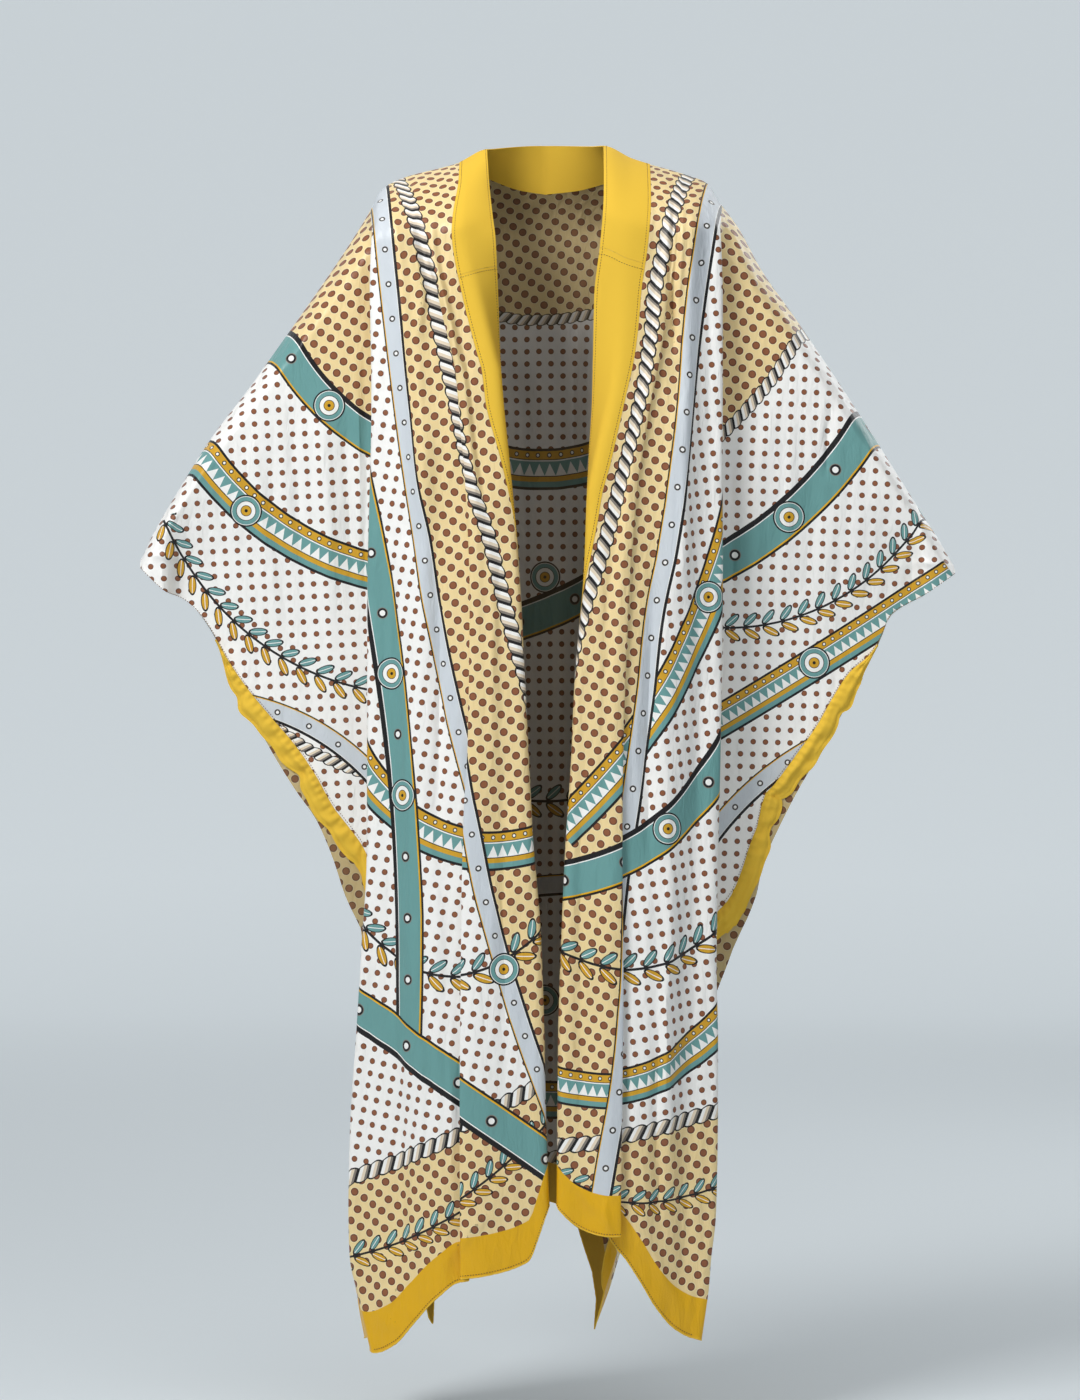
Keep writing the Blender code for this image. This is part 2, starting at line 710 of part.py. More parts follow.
def front(side, finish, collection):
    """One front with its half of the sleeve, from the band seam to the wrist."""
    stretches = {
        "roll": (1, 2),
        "centre": (2, 3),
        "pleat": (3, 4),
        "outer": (4, 5),
        "fold": (5, 6),
        "inside": (6, 7),
        "sleeve": (7, 8),
    }
    places = cell_places(FRONT_CELLS, stretches)
    place, row = np.meshgrid(places, row_places(side))
    points = panel(side, "front", place, row)
    normals = facing(side, "front", place, row)
    open_seam(points, BAND_SEAM, np.s_[:, 1])
    used = (place[:-1, :-1] < SIDE_SEAM - TINY) | (row[:-1, :-1] < UNDERARM - TINY)
    return cloth_wall(f"front_{side}", points, normals, used, finish, collection)


def back(finish, collection):
    """The back with both halves of the sleeves, from wrist to wrist."""
    stretches = {"yoke": (2, 3), "outer": (3, 5), "fold": (5, 6), "inside": (6, 7), "sleeve": (7, 8)}
    places = cell_places(BACK_CELLS, stretches)
    place, row = np.meshgrid(places, row_places())
    halves = {}
    for side in SIDES:
        halves[side] = panel(side, "back", place, row), facing(side, "back", place, row)
    middle = (halves["right"][1][:, :1] + halves["left"][1][:, :1]) / 2
    middle[..., 0] = 0
    middle = middle / np.linalg.norm(middle, axis=-1, keepdims=True)
    points = np.concatenate([halves["right"][0][:, :0:-1], halves["left"][0]], axis=1)
    normals = np.concatenate([halves["right"][1][:, :0:-1], middle, halves["left"][1][:, 1:]], axis=1)
    both = np.concatenate([-place[:, :0:-1], place], axis=1)
    innermost = np.minimum(np.abs(both[:-1, 1:]), np.abs(both[:-1, :-1]))
    rows = np.concatenate([row[:, :0:-1], row], axis=1)
    used = (innermost < SIDE_SEAM - TINY) | (rows[:-1, :-1] < UNDERARM - TINY)
    return cloth_wall("back", points, normals, used, finish, collection)


def front_band(side, finish, collection):
    """The band down one front, from the cross seam on the chest to the hem."""
    rows = row_places(side)
    place, row = np.meshgrid(np.linspace(0, 1, BAND_CELLS + 1), rows[rows >= CROSS_SEAM[side]])
    points = panel(side, "front", place, row)
    normals = facing(side, "front", place, row)
    open_seam(points, np.s_[:, -1], np.s_[:, -2])
    open_seam(points, np.s_[0], np.s_[1])
    used = np.ones((len(points) - 1, BAND_CELLS), bool)
    return cloth_wall(f"front_band_{side}", points, normals, used, finish, collection)


def behind_neck(side, share, top):
    """A line across the neck band behind the neck, from its free edge to its seam, and its normals, facing in."""
    place, row = np.array([2 + share]), np.array([0.0])
    seam = panel(side, "back", place, row)[0]
    at_seam = facing(side, "back", place, row)[0]
    turn = math.pi / 2 * (1 - share)
    edge = np.array(
        [
            top[0] * math.cos(turn),
            (seam[1] - COLLAR_LEAN) * math.sin(turn),
            top[2] + (COLLAR_RISE - top[2]) * math.sin(turn) ** 2,
        ]
    )
    way = (edge - seam) / np.linalg.norm(edge - seam)
    seam = seam + way * SEAM_GAP
    across = at_seam - way * np.dot(at_seam, way)
    across = across / np.linalg.norm(across)
    line = [between(edge, seam, t) for t in np.linspace(0, 1, BAND_CELLS + 1)]
    return line, [across] * BAND_CELLS + [at_seam]


def neck_band(finish, collection):
    """The band from one cross seam, up over the shoulder, round the back neck and down to the other cross seam."""
    strips = {}
    for side in SIDES:
        rows = row_places(side)
        rows = rows[rows <= CROSS_SEAM[side]][::-1]
        place, row = np.meshgrid(np.linspace(0, 1, BAND_CELLS + 1), rows)
        points = panel(side, "front", place, row)
        normals = facing(side, "front", place, row)
        open_seam(points, np.s_[:, -1], np.s_[:, -2])
        open_seam(points, np.s_[0], np.s_[1])
        strips[side] = points, normals
    cells = BACK_CELLS["yoke"]
    behind = [behind_neck("right", k / cells, strips["right"][0][-1, 0]) for k in range(cells - 1, -1, -1)]
    behind += [behind_neck("left", k / cells, strips["left"][0][-1, 0]) for k in range(1, cells)]
    points = np.concatenate([strips["right"][0], [line for line, _ in behind], strips["left"][0][::-1]])
    normals = np.concatenate([strips["right"][1], [line for _, line in behind], strips["left"][1][::-1]])
    used = np.ones((len(points) - 1, BAND_CELLS), bool)
    return cloth_wall("neck_band", points, normals, used, finish, collection)


def sleeve_band(side, finish, collection):
    """The puffed strip outside the stitched line, from under the wrist to where the side fold hides it."""
    places = SIDE_SEAM + np.arange(SLEEVE_BAND_CELLS + 1) / FRONT_CELLS["sleeve"]
    line = panel(side, "front", places[::-1], np.ones(len(places)))
    at_seam = facing(side, "front", places[::-1], np.ones(len(places)))
    run = np.gradient(line, axis=0)
    outward = np.stack([run[:, 2], 0 * run[:, 1], -run[:, 0]], axis=-1)
    outward = outward / np.linalg.norm(outward, axis=-1, keepdims=True)
    outward = outward * -np.sign(outward[:, 2:])
    points = []
    for k, (start, way) in enumerate(zip(line, outward)):
        width = SLEEVE_BAND_WIDTH * between(SLEEVE_BAND_TIP, 1, ease(k / 2))
        wave = 1 + SLEEVE_BAND_WAVE * math.cos(SLEEVE_BAND_WAVE_TURN * k)
        lines = []
        for t in np.linspace(0, 1, BAND_CELLS + 1):
            puff = SLEEVE_BAND_PUFF * wave * math.sin(math.pi * min(t * SLEEVE_BAND_CROWN, 1))
            lines.append(start + way * (SEAM_GAP + width * t) - np.array([0, puff, 0]))
        points.append(lines)
    points = np.array(points)
    normals = np.cross(np.gradient(points, axis=1), np.gradient(points, axis=0))
    normals = normals / np.linalg.norm(normals, axis=-1, keepdims=True)
    normals = normals * np.sign(normals[..., 1:2])
    normals[:, 0] = at_seam
    used = np.ones((len(points) - 1, BAND_CELLS), bool)
    return cloth_wall(f"sleeve_band_{side}", points, normals, used, finish, collection)


def main():
    for old in list(bpy.data.objects):
        bpy.data.objects.remove(old, do_unlink=True)
    coat = bpy.data.collections.new("kimono_coat")
    bpy.context.scene.collection.children.link(coat)
    printed = material("printed_satin", (0.86, 0.80, 0.62), 0.42)
    gold = material("gold_satin", (0.80, 0.50, 0.04), 0.36)
    for side in SIDES:
        front(side, printed, coat)
        front_band(side, gold, coat)
        sleeve_band(side, gold, coat)
    back(printed, coat)
    neck_band(gold, coat)


main()
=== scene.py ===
"""Kimono coat of thin printed satin: its cloth, print, bands, rolled hems and stitching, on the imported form.

The tables are in millimetres and the scene is in metres. X runs to the wearer's left, Y to the back and Z up,
and a drop is a distance below the neck points.
"""

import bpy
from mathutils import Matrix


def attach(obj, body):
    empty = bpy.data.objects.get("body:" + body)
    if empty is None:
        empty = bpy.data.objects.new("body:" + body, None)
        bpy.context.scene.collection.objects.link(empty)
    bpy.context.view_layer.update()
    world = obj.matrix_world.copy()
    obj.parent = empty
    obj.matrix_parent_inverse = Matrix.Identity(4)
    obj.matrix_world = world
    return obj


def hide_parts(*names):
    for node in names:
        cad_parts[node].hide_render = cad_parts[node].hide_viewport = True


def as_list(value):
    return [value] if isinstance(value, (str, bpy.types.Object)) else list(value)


bl_info = {
    "name": "Kimono Coat",
    "version": (1, 0, 0),
    "blender": (4, 5, 0),
    "location": "3D View > Sidebar > Coat",
    "description": "Makes an open kimono coat of printed satin on its packed form",
    "category": "Add Mesh",
}

import functools
import math
from collections import namedtuple

import bpy
import numpy as np
from mathutils import Vector

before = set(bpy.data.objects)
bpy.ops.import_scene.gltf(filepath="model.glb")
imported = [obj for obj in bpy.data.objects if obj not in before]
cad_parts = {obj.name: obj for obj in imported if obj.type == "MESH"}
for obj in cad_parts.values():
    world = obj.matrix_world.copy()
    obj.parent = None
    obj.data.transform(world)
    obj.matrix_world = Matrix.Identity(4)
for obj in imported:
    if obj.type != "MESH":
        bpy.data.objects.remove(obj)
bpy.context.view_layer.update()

# Sizes that the coat's form is cut from
MM = 0.001
LAYER_GAP = 1.5
SEAM_GAP = 0.3
BAND_WIDTH = 56.0
SLEEVE_BAND_WIDTH = 23.0
ROLL_WIDTH = 24.0
HALF_WIDTH = 210.0
COLLAR_RISE = 14.0
COLLAR_LEAN = 16.0
PLEAT_CLEAR = 8.0
SHOULDER_CURVE = 1.6
SHOULDER_FULLNESS = 0.8
SIDE_CURVE = 2.4
ROW_GROWTH = 1.6
ROLL_STEPS = 97
ROLL_TABLE_STEP = 4.0
SETTLING_ROUNDS = 12
LOWEST_DROP = 1420.0

# A point of the cloth has a place across it and a row down it. On a front the places are: 0 the band's free
# edge, 1 the band's seam, 2 the end of the rolled edge, 3 and 4 the pleat, 5 and 6 the side fold, 7 the side
# seam and 8 the wrist. The back starts at 2, its centre, and has its neck corner at 3. The rows are 0 on the
# shoulder, 1 at the underarm or the sleeve's lower edge, and 2 at the hem.
BAND_SEAM = 1
CENTRE_BACK = 2
ROLL_END = 2
NECK_CORNER = 3
PLEAT_START = 3
PLEAT_END = 4
SIDE_FOLD = 5
FOLD_END = 6
SIDE_SEAM = 7
UNDERARM = 1
TINY = 0.001
LEAST_LENGTH = 1e-9

# The stretches of cloth across a front and across half the back: their places and how many cells each has
Stretch = namedtuple("Stretch", "start end cells")
FRONT_STRETCHES = {
    "band": Stretch(0, 1, 16),
    "roll": Stretch(1, 2, 10),
    "centre": Stretch(2, 3, 12),
    "pleat": Stretch(3, 4, 20),
    "outer": Stretch(4, 5, 22),
    "fold": Stretch(5, 6, 26),
    "inside": Stretch(6, 7, 4),
    "sleeve": Stretch(7, 8, 60),
}
BACK_STRETCHES = {
    "yoke": Stretch(2, 3, 18),
    "outer": Stretch(3, 5, 26),
    "fold": Stretch(5, 6, 24),
    "inside": Stretch(6, 7, 4),
    "sleeve": Stretch(7, 8, 52),
}
UPPER_ROWS = 120
LOWER_ROWS = 84

# How the rolled front edge is tabled, and how the grain of the cloth is measured
ROLL_TABLE_TOP = -40.0
GRAIN_STEP = 6.0
GRAIN_ROW = 0.8
PLAN_GRAIN_DROP = 150.0
PLAN_GRAIN_EASE = 150.0
SLEEVE_GRAIN_START = 7.3
SLEEVE_GRAIN_SHIFT = 0.35
SLEEVE_GRAIN_EASE = 0.3

# Where the finer creases are strong, and where they are calm
WRINKLE_STRENGTH = 2.3
WRINKLE_TAPER = 0.7
RIDGE_CALM = 40.0
PLEAT_CALM = 0.9
PLEAT_MIDDLE = 3.5
PLEAT_CALM_REACH = 0.3
SIDE_CALM_START = 4.5
SIDE_CALM_RATE = 2
CENTRE_CALM_RATE = 3
SHARP_ANGLE = 40.0

# The puffed sleeve bands: their shape, how far along they are pinched, and the small waves in them
SLEEVE_BAND_SPAN = 8 / 12
SLEEVE_BAND_LINES = 321
SLEEVE_BAND_CELLS = 24
SLEEVE_BAND_PUFF = 5.0
SLEEVE_BAND_CROWN = 1.2
SLEEVE_BAND_TIP = 0.08
SLEEVE_BAND_TAPER = 2
SLEEVE_BAND_TUCK = 45.0
SLEEVE_BAND_WAVES = 8
SLEEVE_BAND_WAVE = 0.25
SLEEVE_BAND_WAVE_TURN = 2.4
LEAST_FALL = 0.45
PINCHES = {"right": (70, 190, 300), "left": (95, 215, 262)}
PINCH_WIDTH = 9.0
PINCH_NARROWS = 0.22
PINCH_FLATTENS = 0.6
GATHER_REACH = 0.4
GATHER_START = 8
Wave = namedtuple("Wave", "height length drift drift_length lean steady swell_length swell_start")
GATHERS = Wave(0.9, 1.5, 1.6, 31, 0, 1, 1, 0)
CROSS_CREASES = Wave(1.6, 3.9, 2, 47, 2.6, 0.6, 19, 0)
LONG_CREASES = Wave(1.9, math.inf, 0.4 * math.pi, 37, 3 * math.pi, 0.7, 29, math.pi / 2)
WIDTH_WAVES = ((0.05, 11, 0), (0.04, 6.3, 1))

# The rolled hems, and the rows of stitches: their places on a band, how far they lie off the cloth, and their
# share of the way from its edge to its next row. The pitch, width and length of a stitch are in metres.
HEM_STEP = 2.6
HEM_PUCKER = 0.22
HEM_PUCKER_TURNS = (1.9, 0.37, 1)
HEM_WAVE = 0.5
HEM_WAVE_TURNS = (0.61, 0.13, 0.4)
WRIST_ROLL = 0.8
STITCH_PITCH = 0.0032
STITCH_WIDTH = 0.0009
STITCH_PATH_STEP = 5.0
HEM_STARTS = {"front": BAND_SEAM, "back": CENTRE_BACK}
BAND_STITCHES = {"edge": 0.05, "seam": 0.95}
SLEEVE_STITCH_LIFT = 0.6
SLEEVE_STITCH_SHARE = 0.4
HEM_STITCH = 0.0022
HEM_STITCH_LIFT = 0.35
HEM_STITCH_SHARE = 0.55

# The cloth that each piece is cut from: its width, its length and the area left after cutting, in metres
CLOTH_CUTS = {
    "coat_front_right": (0.70, 1.45, 0.503),
    "coat_front_left": (0.70, 1.45, 0.476),
    "coat_back": (1.40, 1.45, 1.03),
}

# The satin's finish on its right side and on its wrong side, and the waves in its surface, in metres
SPECULAR = 0.38
WRONG_SPECULAR = 0.2
# The print's wrong side is mixed towards this dark brown: partly the duller wrong side of the cloth, partly
# painted shade for the coat's shaded inside
WRONG_SIDE_DULL_AND_SHADE_TINT = (0.14, 0.105, 0.06, 1.0)
SHEEN = 0.06
SHEEN_ROUGHNESS = 0.3
WEAVE_SCALE = 900.0
WEAVE_SHARE = 0.04
SOFT_WAVE = (0.03, 0.03, 0.11)
FINE_WAVE_SCALE = 3.1
FINE_WAVE_TWIST = 1.2
FINE_WAVE_SHARE = 0.22
WAVE_HEIGHT = 0.008

# The floor with its backdrop, and how far the camera is off the coat's middle
FLOOR_SIZE = 40.0
FLOOR_BACK = 14.0
BACKDROP_HEIGHT = 18.0
SWEEP = 7.0
SWEEP_CELLS = 24
PAPER_ROUGHNESS = 0.9
FLOOR_GLOW = 0.12
BACKDROP_GLOW = 0.6
GLOW_START = 0.0
GLOW_END = 9.0
ROOM_COLOUR = (0.93, 0.97, 1.0, 1.0)
CAMERA_SIDE = -0.006
CAMERA_AIM_DEPTH = -0.06

# The studio's lights: the power of the stage that each takes a share of, its size, its place and its aim
Light = namedtuple("Light", "name power share width height place aim")
LIGHTS = [
    Light("main_light", "key", 1.0, 1.5, 1.2, (-1.9, -2.5, 2.0), (0, 0, 0.1)),
    Light("front_light", "fill", 1.0, 2.0, 1.6, (1.4, -3.2, 1.9), (0, 0, 0.1)),
    Light("top_light", "fill", 0.7, 1.8, 1.2, (0.3, -0.9, 1.7), (0, 0, -0.3)),
    Light("back_light", "fill", 1.8, 2.0, 2.0, (2.6, 3.0, 1.3), (0, 0, -0.4)),
]
Shades = namedtuple(
    "Shades", "gold beige white brown dark_brown light teal pale grey shadow cream mustard black thread"
)


def table(kind, *rows):
    """A table whose rows are of one kind."""
    return [kind(*row) for row in rows]


def tables(kind, **rows):
    """Tables of one kind, each under the side or the region that it is for."""
    return {name: table(kind, *each) for name, each in rows.items()}

# The ridge along shoulder and arm, by distance from the middle: drop below the neck point, the arm's half
# thickness, and the height over which the cloth rounds down from the ridge
Ridge = namedtuple("Ridge", "out drop arm rounding")
RIDGES = tables(
    Ridge,
    right=[
        (0, -7, 60, 95), (69, -3, 60, 95), (103, 13, 60, 92), (174, 33, 60, 78), (195, 47, 58, 66),
        (204, 65, 57, 60), (229, 106, 53, 53), (266, 161, 47, 47), (314, 229, 42, 42), (351, 281, 38, 38),
        (395, 339, 34, 34), (438, 408, 31, 31), (464, 453, 28, 28), (477, 481, 27, 27),
    ],
    left=[
        (0, -7, 60, 95), (69, -7, 60, 95), (103, 8, 60, 92), (160, 25, 60, 80), (190, 36, 58, 68),
        (208, 62, 56, 60), (228, 89, 53, 53), (256, 140, 49, 49), (294, 194, 44, 44), (330, 247, 40, 40),
        (367, 303, 36, 36), (405, 363, 33, 33), (442, 422, 30, 30), (468, 463, 28, 28), (483, 489, 27, 27),
    ],
)

# The front edge: where it shows, how far from the band seam it rolls, how far it turns, and its easing
Opening = namedtuple("Opening", "drop edge roll turn ease")
OPENINGS = tables(
    Opening,
    right=[
        (-10, 69, 2, 58, 15), (40, 66, 3, 54, 15), (87, 61, 8, 38, 15), (110, 58, 10, 30, 15),
        (180, 55, 18, 55, 15), (239, 53, 20, 80, 15), (297, 49, 20, 100, 15), (367, 42, 10, 108, 25),
        (461, 33, -3, 112, 30), (531, 28, -12, 115, 38), (693, 20, -16, 118, 42), (807, 14, -18, 120, 45),
        (917, 5, -20, 120, 45), (1032, 1, -20, 120, 45), (1126, -1, -20, 120, 45), (1240, -5, -20, 120, 45),
    ],
    left=[
        (-10, 69, 20, 15, 15), (63, 68, 20, 12, 15), (116, 64, 25, 10, 15), (180, 57, 20, 20, 15),
        (239, 56, 18, 36, 15), (297, 55, 16, 58, 15), (367, 51, 18, 80, 18), (426, 48, 14, 95, 22),
        (484, 46, 6, 105, 26), (531, 43, -3, 110, 30), (578, 38, -10, 112, 36), (627, 34, -14, 115, 40),
        (718, 30, -16, 118, 42), (824, 23, -18, 120, 45), (937, 18, -20, 120, 45), (1032, 15, -20, 120, 45),
        (1126, 14, -20, 120, 45), (1240, 13, -20, 120, 45),
    ],
)

# The inner pleat of each front: from start to end it turns back by its throw, and it stands proud by its lift
Pleat = namedtuple("Pleat", "drop start end throw lift")
PLEATS = tables(
    Pleat,
    right=[
        (40, 128, 152, 0, 0), (130, 122, 144, 1, 5), (215, 94, 115, 3, 8), (370, 84, 104, 3.5, 8),
        (530, 78, 96, 3.5, 8), (700, 80, 97, 4.5, 9), (775, 84, 98, 6, 10), (900, 86, 97, 8, 11),
        (1126, 88, 98, 8, 12), (1320, 88, 98, 7.5, 12),
    ],
    left=[
        (40, 142, 162, 0, 0), (130, 140, 160, 1, 4), (215, 126, 145, 3, 7), (370, 101, 120, 3, 7),
        (530, 88, 106, 3.5, 8), (700, 82, 97, 4, 8), (850, 80, 92, 6, 10), (1000, 78, 90, 9, 12),
        (1230, 75, 86, 9.5, 12),
    ],
)

# The deep fold under each arm, between the body and the cloth that runs out to the sleeve, and the side seam
Fold = namedtuple("Fold", "drop start end throw seam")
FRONT_FOLDS = tables(
    Fold,
    right=[
        (40, 190, 225, 0, 245), (65, 190, 222, 0, 240), (110, 190, 212, 6, 228), (180, 188, 204, 12, 220),
        (300, 187, 198, 12.5, 214), (531, 192, 201, 13, 212), (835, 193, 200, 13.5, 209),
        (937, 199, 205, 14, 214), (1032, 205, 208, 14.5, 217), (1126, 211, 211, 16, 220),
        (1230, 215, 214, 15, 222), (1300, 216, 217, 12, 224), (1350, 210, 216, 6, 222),
        (1410, 200, 206, 2, 212),
    ],
    left=[
        (40, 192, 225, 0, 245), (62, 193, 224, 0, 243), (110, 193, 213, 6, 230), (180, 191, 206, 12, 222),
        (300, 191, 202, 13, 216), (531, 192, 200, 13, 212), (700, 190, 197, 13, 207),
        (901, 186, 192, 13, 201), (954, 187, 190, 12, 200), (1050, 192, 166, 15.5, 171),
        (1144, 189, 136, 24, 142), (1250, 185, 101, 32, 106), (1300, 178, 84, 35.5, 89),
        (1338, 174, 72, 38, 78), (1393, 170, 54, 36, 58),
    ],
)
BACK_FOLDS = tables(
    Fold,
    right=[
        (40, 186, 225, 0, 245), (65, 186, 222, 0, 240), (110, 184, 212, 5, 228), (180, 182, 204, 10, 220),
        (300, 180, 198, 11, 214), (531, 184, 201, 12, 212), (835, 186, 200, 13, 209),
        (937, 192, 205, 13, 214), (1126, 204, 211, 14, 220), (1230, 209, 215, 15, 222),
        (1300, 214, 218, 16, 224), (1350, 211, 217, 14, 222), (1410, 198, 206, 5, 212),
    ],
    left=[
        (40, 188, 225, 0, 245), (62, 188, 224, 0, 243), (110, 186, 213, 5, 230), (180, 184, 206, 10, 222),
        (300, 184, 202, 11, 216), (531, 185, 200, 12, 212), (700, 183, 197, 12, 207),
        (901, 180, 192, 12, 201), (954, 180, 186, 12.5, 200), (1050, 179, 155, 21, 171),
        (1144, 175, 110, 31, 142), (1250, 165, 52, 42, 106), (1300, 159, 32, 48, 89),
        (1338, 156, 30, 46, 78), (1393, 153, 30, 42, 58),
    ],
)

# How far the cloth stands before and behind the shoulder line, and the hidden layer beside the side seam
Depth = namedtuple("Depth", "drop front front_side back back_side layer")
DEPTHS = table(
    Depth,
    (0, 118, 74, 96, 64, 55), (250, 120, 76, 102, 66, 50), (450, 117, 74, 100, 62, 44),
    (700, 119, 72, 103, 62, 34), (1000, 125, 72, 110, 66, 27), (1410, 131, 70, 118, 70, 25),
)

# The lower edge of each sleeve: the stitched line, and the free edge of the back that hangs below it
SleeveEdge = namedtuple("SleeveEdge", "out stitched back")
SLEEVE_EDGES = tables(
    SleeveEdge,
    right=[
        (209, 835, 945), (215, 822, 926), (237, 792, 878), (250, 775, 838), (270, 739, 791),
        (295, 702, 755), (324, 668, 708), (352, 634, 655), (374, 602, 610), (388, 577, 579),
        (401, 556, 557), (418, 536, 536), (433, 526, 526), (444, 522, 522), (477, 492, 492),
    ],
    left=[
        (200, 901, 999), (210, 892, 978), (220, 879, 948), (233, 848, 919), (242, 819, 900),
        (253, 790, 868), (258, 762, 840), (269, 750, 815), (298, 711, 757), (322, 677, 716),
        (340, 645, 685), (360, 615, 648), (384, 594, 603), (397, 574, 576), (408, 548, 549),
        (446, 525, 525), (466, 511, 511), (483, 499, 499),
    ],
)

# The row of each band's cross seam, and where the sleeve opens from its stitched line into the cuff
CROSS_SEAM = {"right": 0.337, "left": 0.298}
CUFF_CLOSED = 432
CUFF_OPEN = 450

# The hem, by place across the cloth
Hem = namedtuple("Hem", "place drop")
FRONT_HEMS = tables(
    Hem,
    right=[
        (0, 1205), (1, 1218), (1.5, 1238), (1.75, 1268), (2, 1296), (2.5, 1309), (3, 1315), (4, 1321),
        (4.25, 1341), (4.5, 1371), (4.75, 1398), (5, 1409), (5.5, 1404), (6, 1398), (7, 1402),
    ],
    left=[
        (0, 1205), (1, 1215), (1.5, 1236), (2, 1256), (2.5, 1264), (3, 1267), (3.7, 1267), (4, 1286),
        (4.25, 1318), (4.5, 1353), (4.75, 1377), (5, 1389), (5.2, 1393), (5.4, 1335), (5.6, 1262),
        (5.75, 1262), (6, 1345), (7, 1392),
    ],
)
BACK_HEMS = tables(
    Hem,
    right=[
        (2, 1251), (2.5, 1282), (3, 1303), (3.5, 1322), (3.72, 1404), (3.9, 1346), (4.3, 1372), (5, 1392),
        (6, 1398), (7, 1402),
    ],
    left=[
        (2, 1251), (2.5, 1268), (3, 1285), (4, 1297), (5, 1312), (5.3, 1318), (5.7, 1256), (6, 1275),
        (6.5, 1325), (7, 1392),
    ],
)

# The back neckline, where the neck band is sewn on: its dip below its corners, by its share of their distance
Neckline = namedtuple("Neckline", "share dip")
NECKLINE = table(
    Neckline,
    (0, 29), (0.3, 25), (0.6, 16), (0.85, 6), (1, 0),
)

# Soft standing folds: where a fold is at its top and at its low end, and its half width and height. A height
# below nought makes a trough. On the back, distances to the wearer's right are below nought.
Crease = namedtuple("Crease", "top low drop_top drop_low width height")
FRONT_CREASES = tables(
    Crease,
    right=[
        (160, 142, 60, 420, 13, 8), (140, 158, 330, 1100, 16, 7), (182, 176, 500, 1300, 12, -6),
        (130, 120, 800, 1380, 12, 6),
    ],
    left=[
        (172, 158, 60, 520, 12, 8), (150, 136, 300, 1150, 15, 7), (182, 160, 600, 1320, 12, -6),
        (118, 112, 850, 1280, 11, 6),
    ],
)
BACK_CREASES = table(
    Crease,
    (-160, -176, 380, 1380, 13, -9), (-112, -134, 200, 1400, 17, 14), (-88, -86, 420, 1330, 15, -12),
    (-30, -44, 260, 1290, 18, 12), (16, 10, 500, 1260, 14, -9), (62, 56, 220, 1300, 19, 13),
    (110, 98, 460, 1310, 15, -12), (148, 132, 180, 1310, 17, 12),
)
SLEEVE_CREASES = table(
    Crease,
    (262, 250, 300, 700, 13, 5), (318, 300, 380, 640, 12, -4), (372, 356, 420, 600, 11, 4),
)
CREASE_FADE = 90.0

SIDES = {"right": -1.0, "left": 1.0}
SLEEVE_END = {side: rows[-1].out for side, rows in RIDGES.items()}

# Finer creases: the line that each follows, by distance from the middle and drop, its half width and height
Wrinkle = namedtuple("Wrinkle", "path width height")
FRONT_WRINKLES = tables(
    Wrinkle,
    right=[
        ([(166, 51), (150, 130), (142, 180), (149, 235)], 5, 3.0),
        ([(178, 60), (168, 140), (160, 230)], 6, -2.5),
        ([(135, 130), (118, 175), (108, 215), (100, 300)], 5, 2.2),
        ([(176, 260), (170, 420), (172, 600)], 7, 2.4), ([(128, 420), (122, 640), (126, 860)], 6, -2.2),
        ([(64, 380), (60, 560), (63, 760)], 6, 1.8), ([(46, 700), (50, 900), (44, 1150)], 5, -1.6),
        ([(150, 900), (143, 1090), (150, 1300)], 7, 2.6), ([(172, 980), (168, 1150), (163, 1350)], 6, -2.4),
        ([(112, 980), (108, 1150), (112, 1310)], 5, 1.8), ([(196, 700), (186, 760), (168, 800)], 6, 1.6),
        ([(206, 1314), (192, 1320), (176, 1318)], 4, 1.6),
        ([(205, 1336), (190, 1342), (170, 1340)], 5, 2.6),
        ([(203, 1366), (190, 1372), (172, 1380)], 5, 2.6), ([(60, 1236), (84, 1258), (112, 1296)], 5, 1.6),
    ],
    left=[
        ([(152, 50), (149, 110), (146, 170), (150, 250)], 3.2, -3.2),
        ([(160, 60), (158, 120), (155, 200)], 4, 2.6), ([(170, 240), (163, 420), (168, 640)], 7, 2.4),
        ([(126, 470), (118, 700), (122, 900)], 6, -2.2), ([(62, 330), (64, 540), (58, 800)], 6, 1.8),
        ([(44, 620), (40, 860), (42, 1130)], 5, -1.6), ([(150, 820), (142, 1000), (146, 1230)], 7, 2.6),
        ([(132, 1010), (128, 1150), (134, 1290)], 5, -2.0),
        ([(104, 900), (100, 1080), (102, 1240)], 5, 1.8), ([(28, 1200), (42, 1216), (56, 1240)], 4, 1.5),
        ([(68, 1226), (70, 1246), (76, 1262)], 3.5, 1.6), ([(112, 1262), (134, 1310), (160, 1360)], 6, 1.6),
    ],
)
BAND_WRINKLES = tables(
    Wrinkle,
    right=[
        ([(58, 250), (48, 262), (40, 266)], 3, -0.8), ([(50, 470), (40, 500), (34, 560)], 4, 0.8),
    ],
    left=[
        ([(42, 433), (53, 438), (64, 436)], 2.2, -1.0), ([(42, 442), (53, 446), (64, 445)], 2.4, 0.8),
        ([(70, 150), (62, 190), (60, 240)], 4, 0.7),
    ],
)
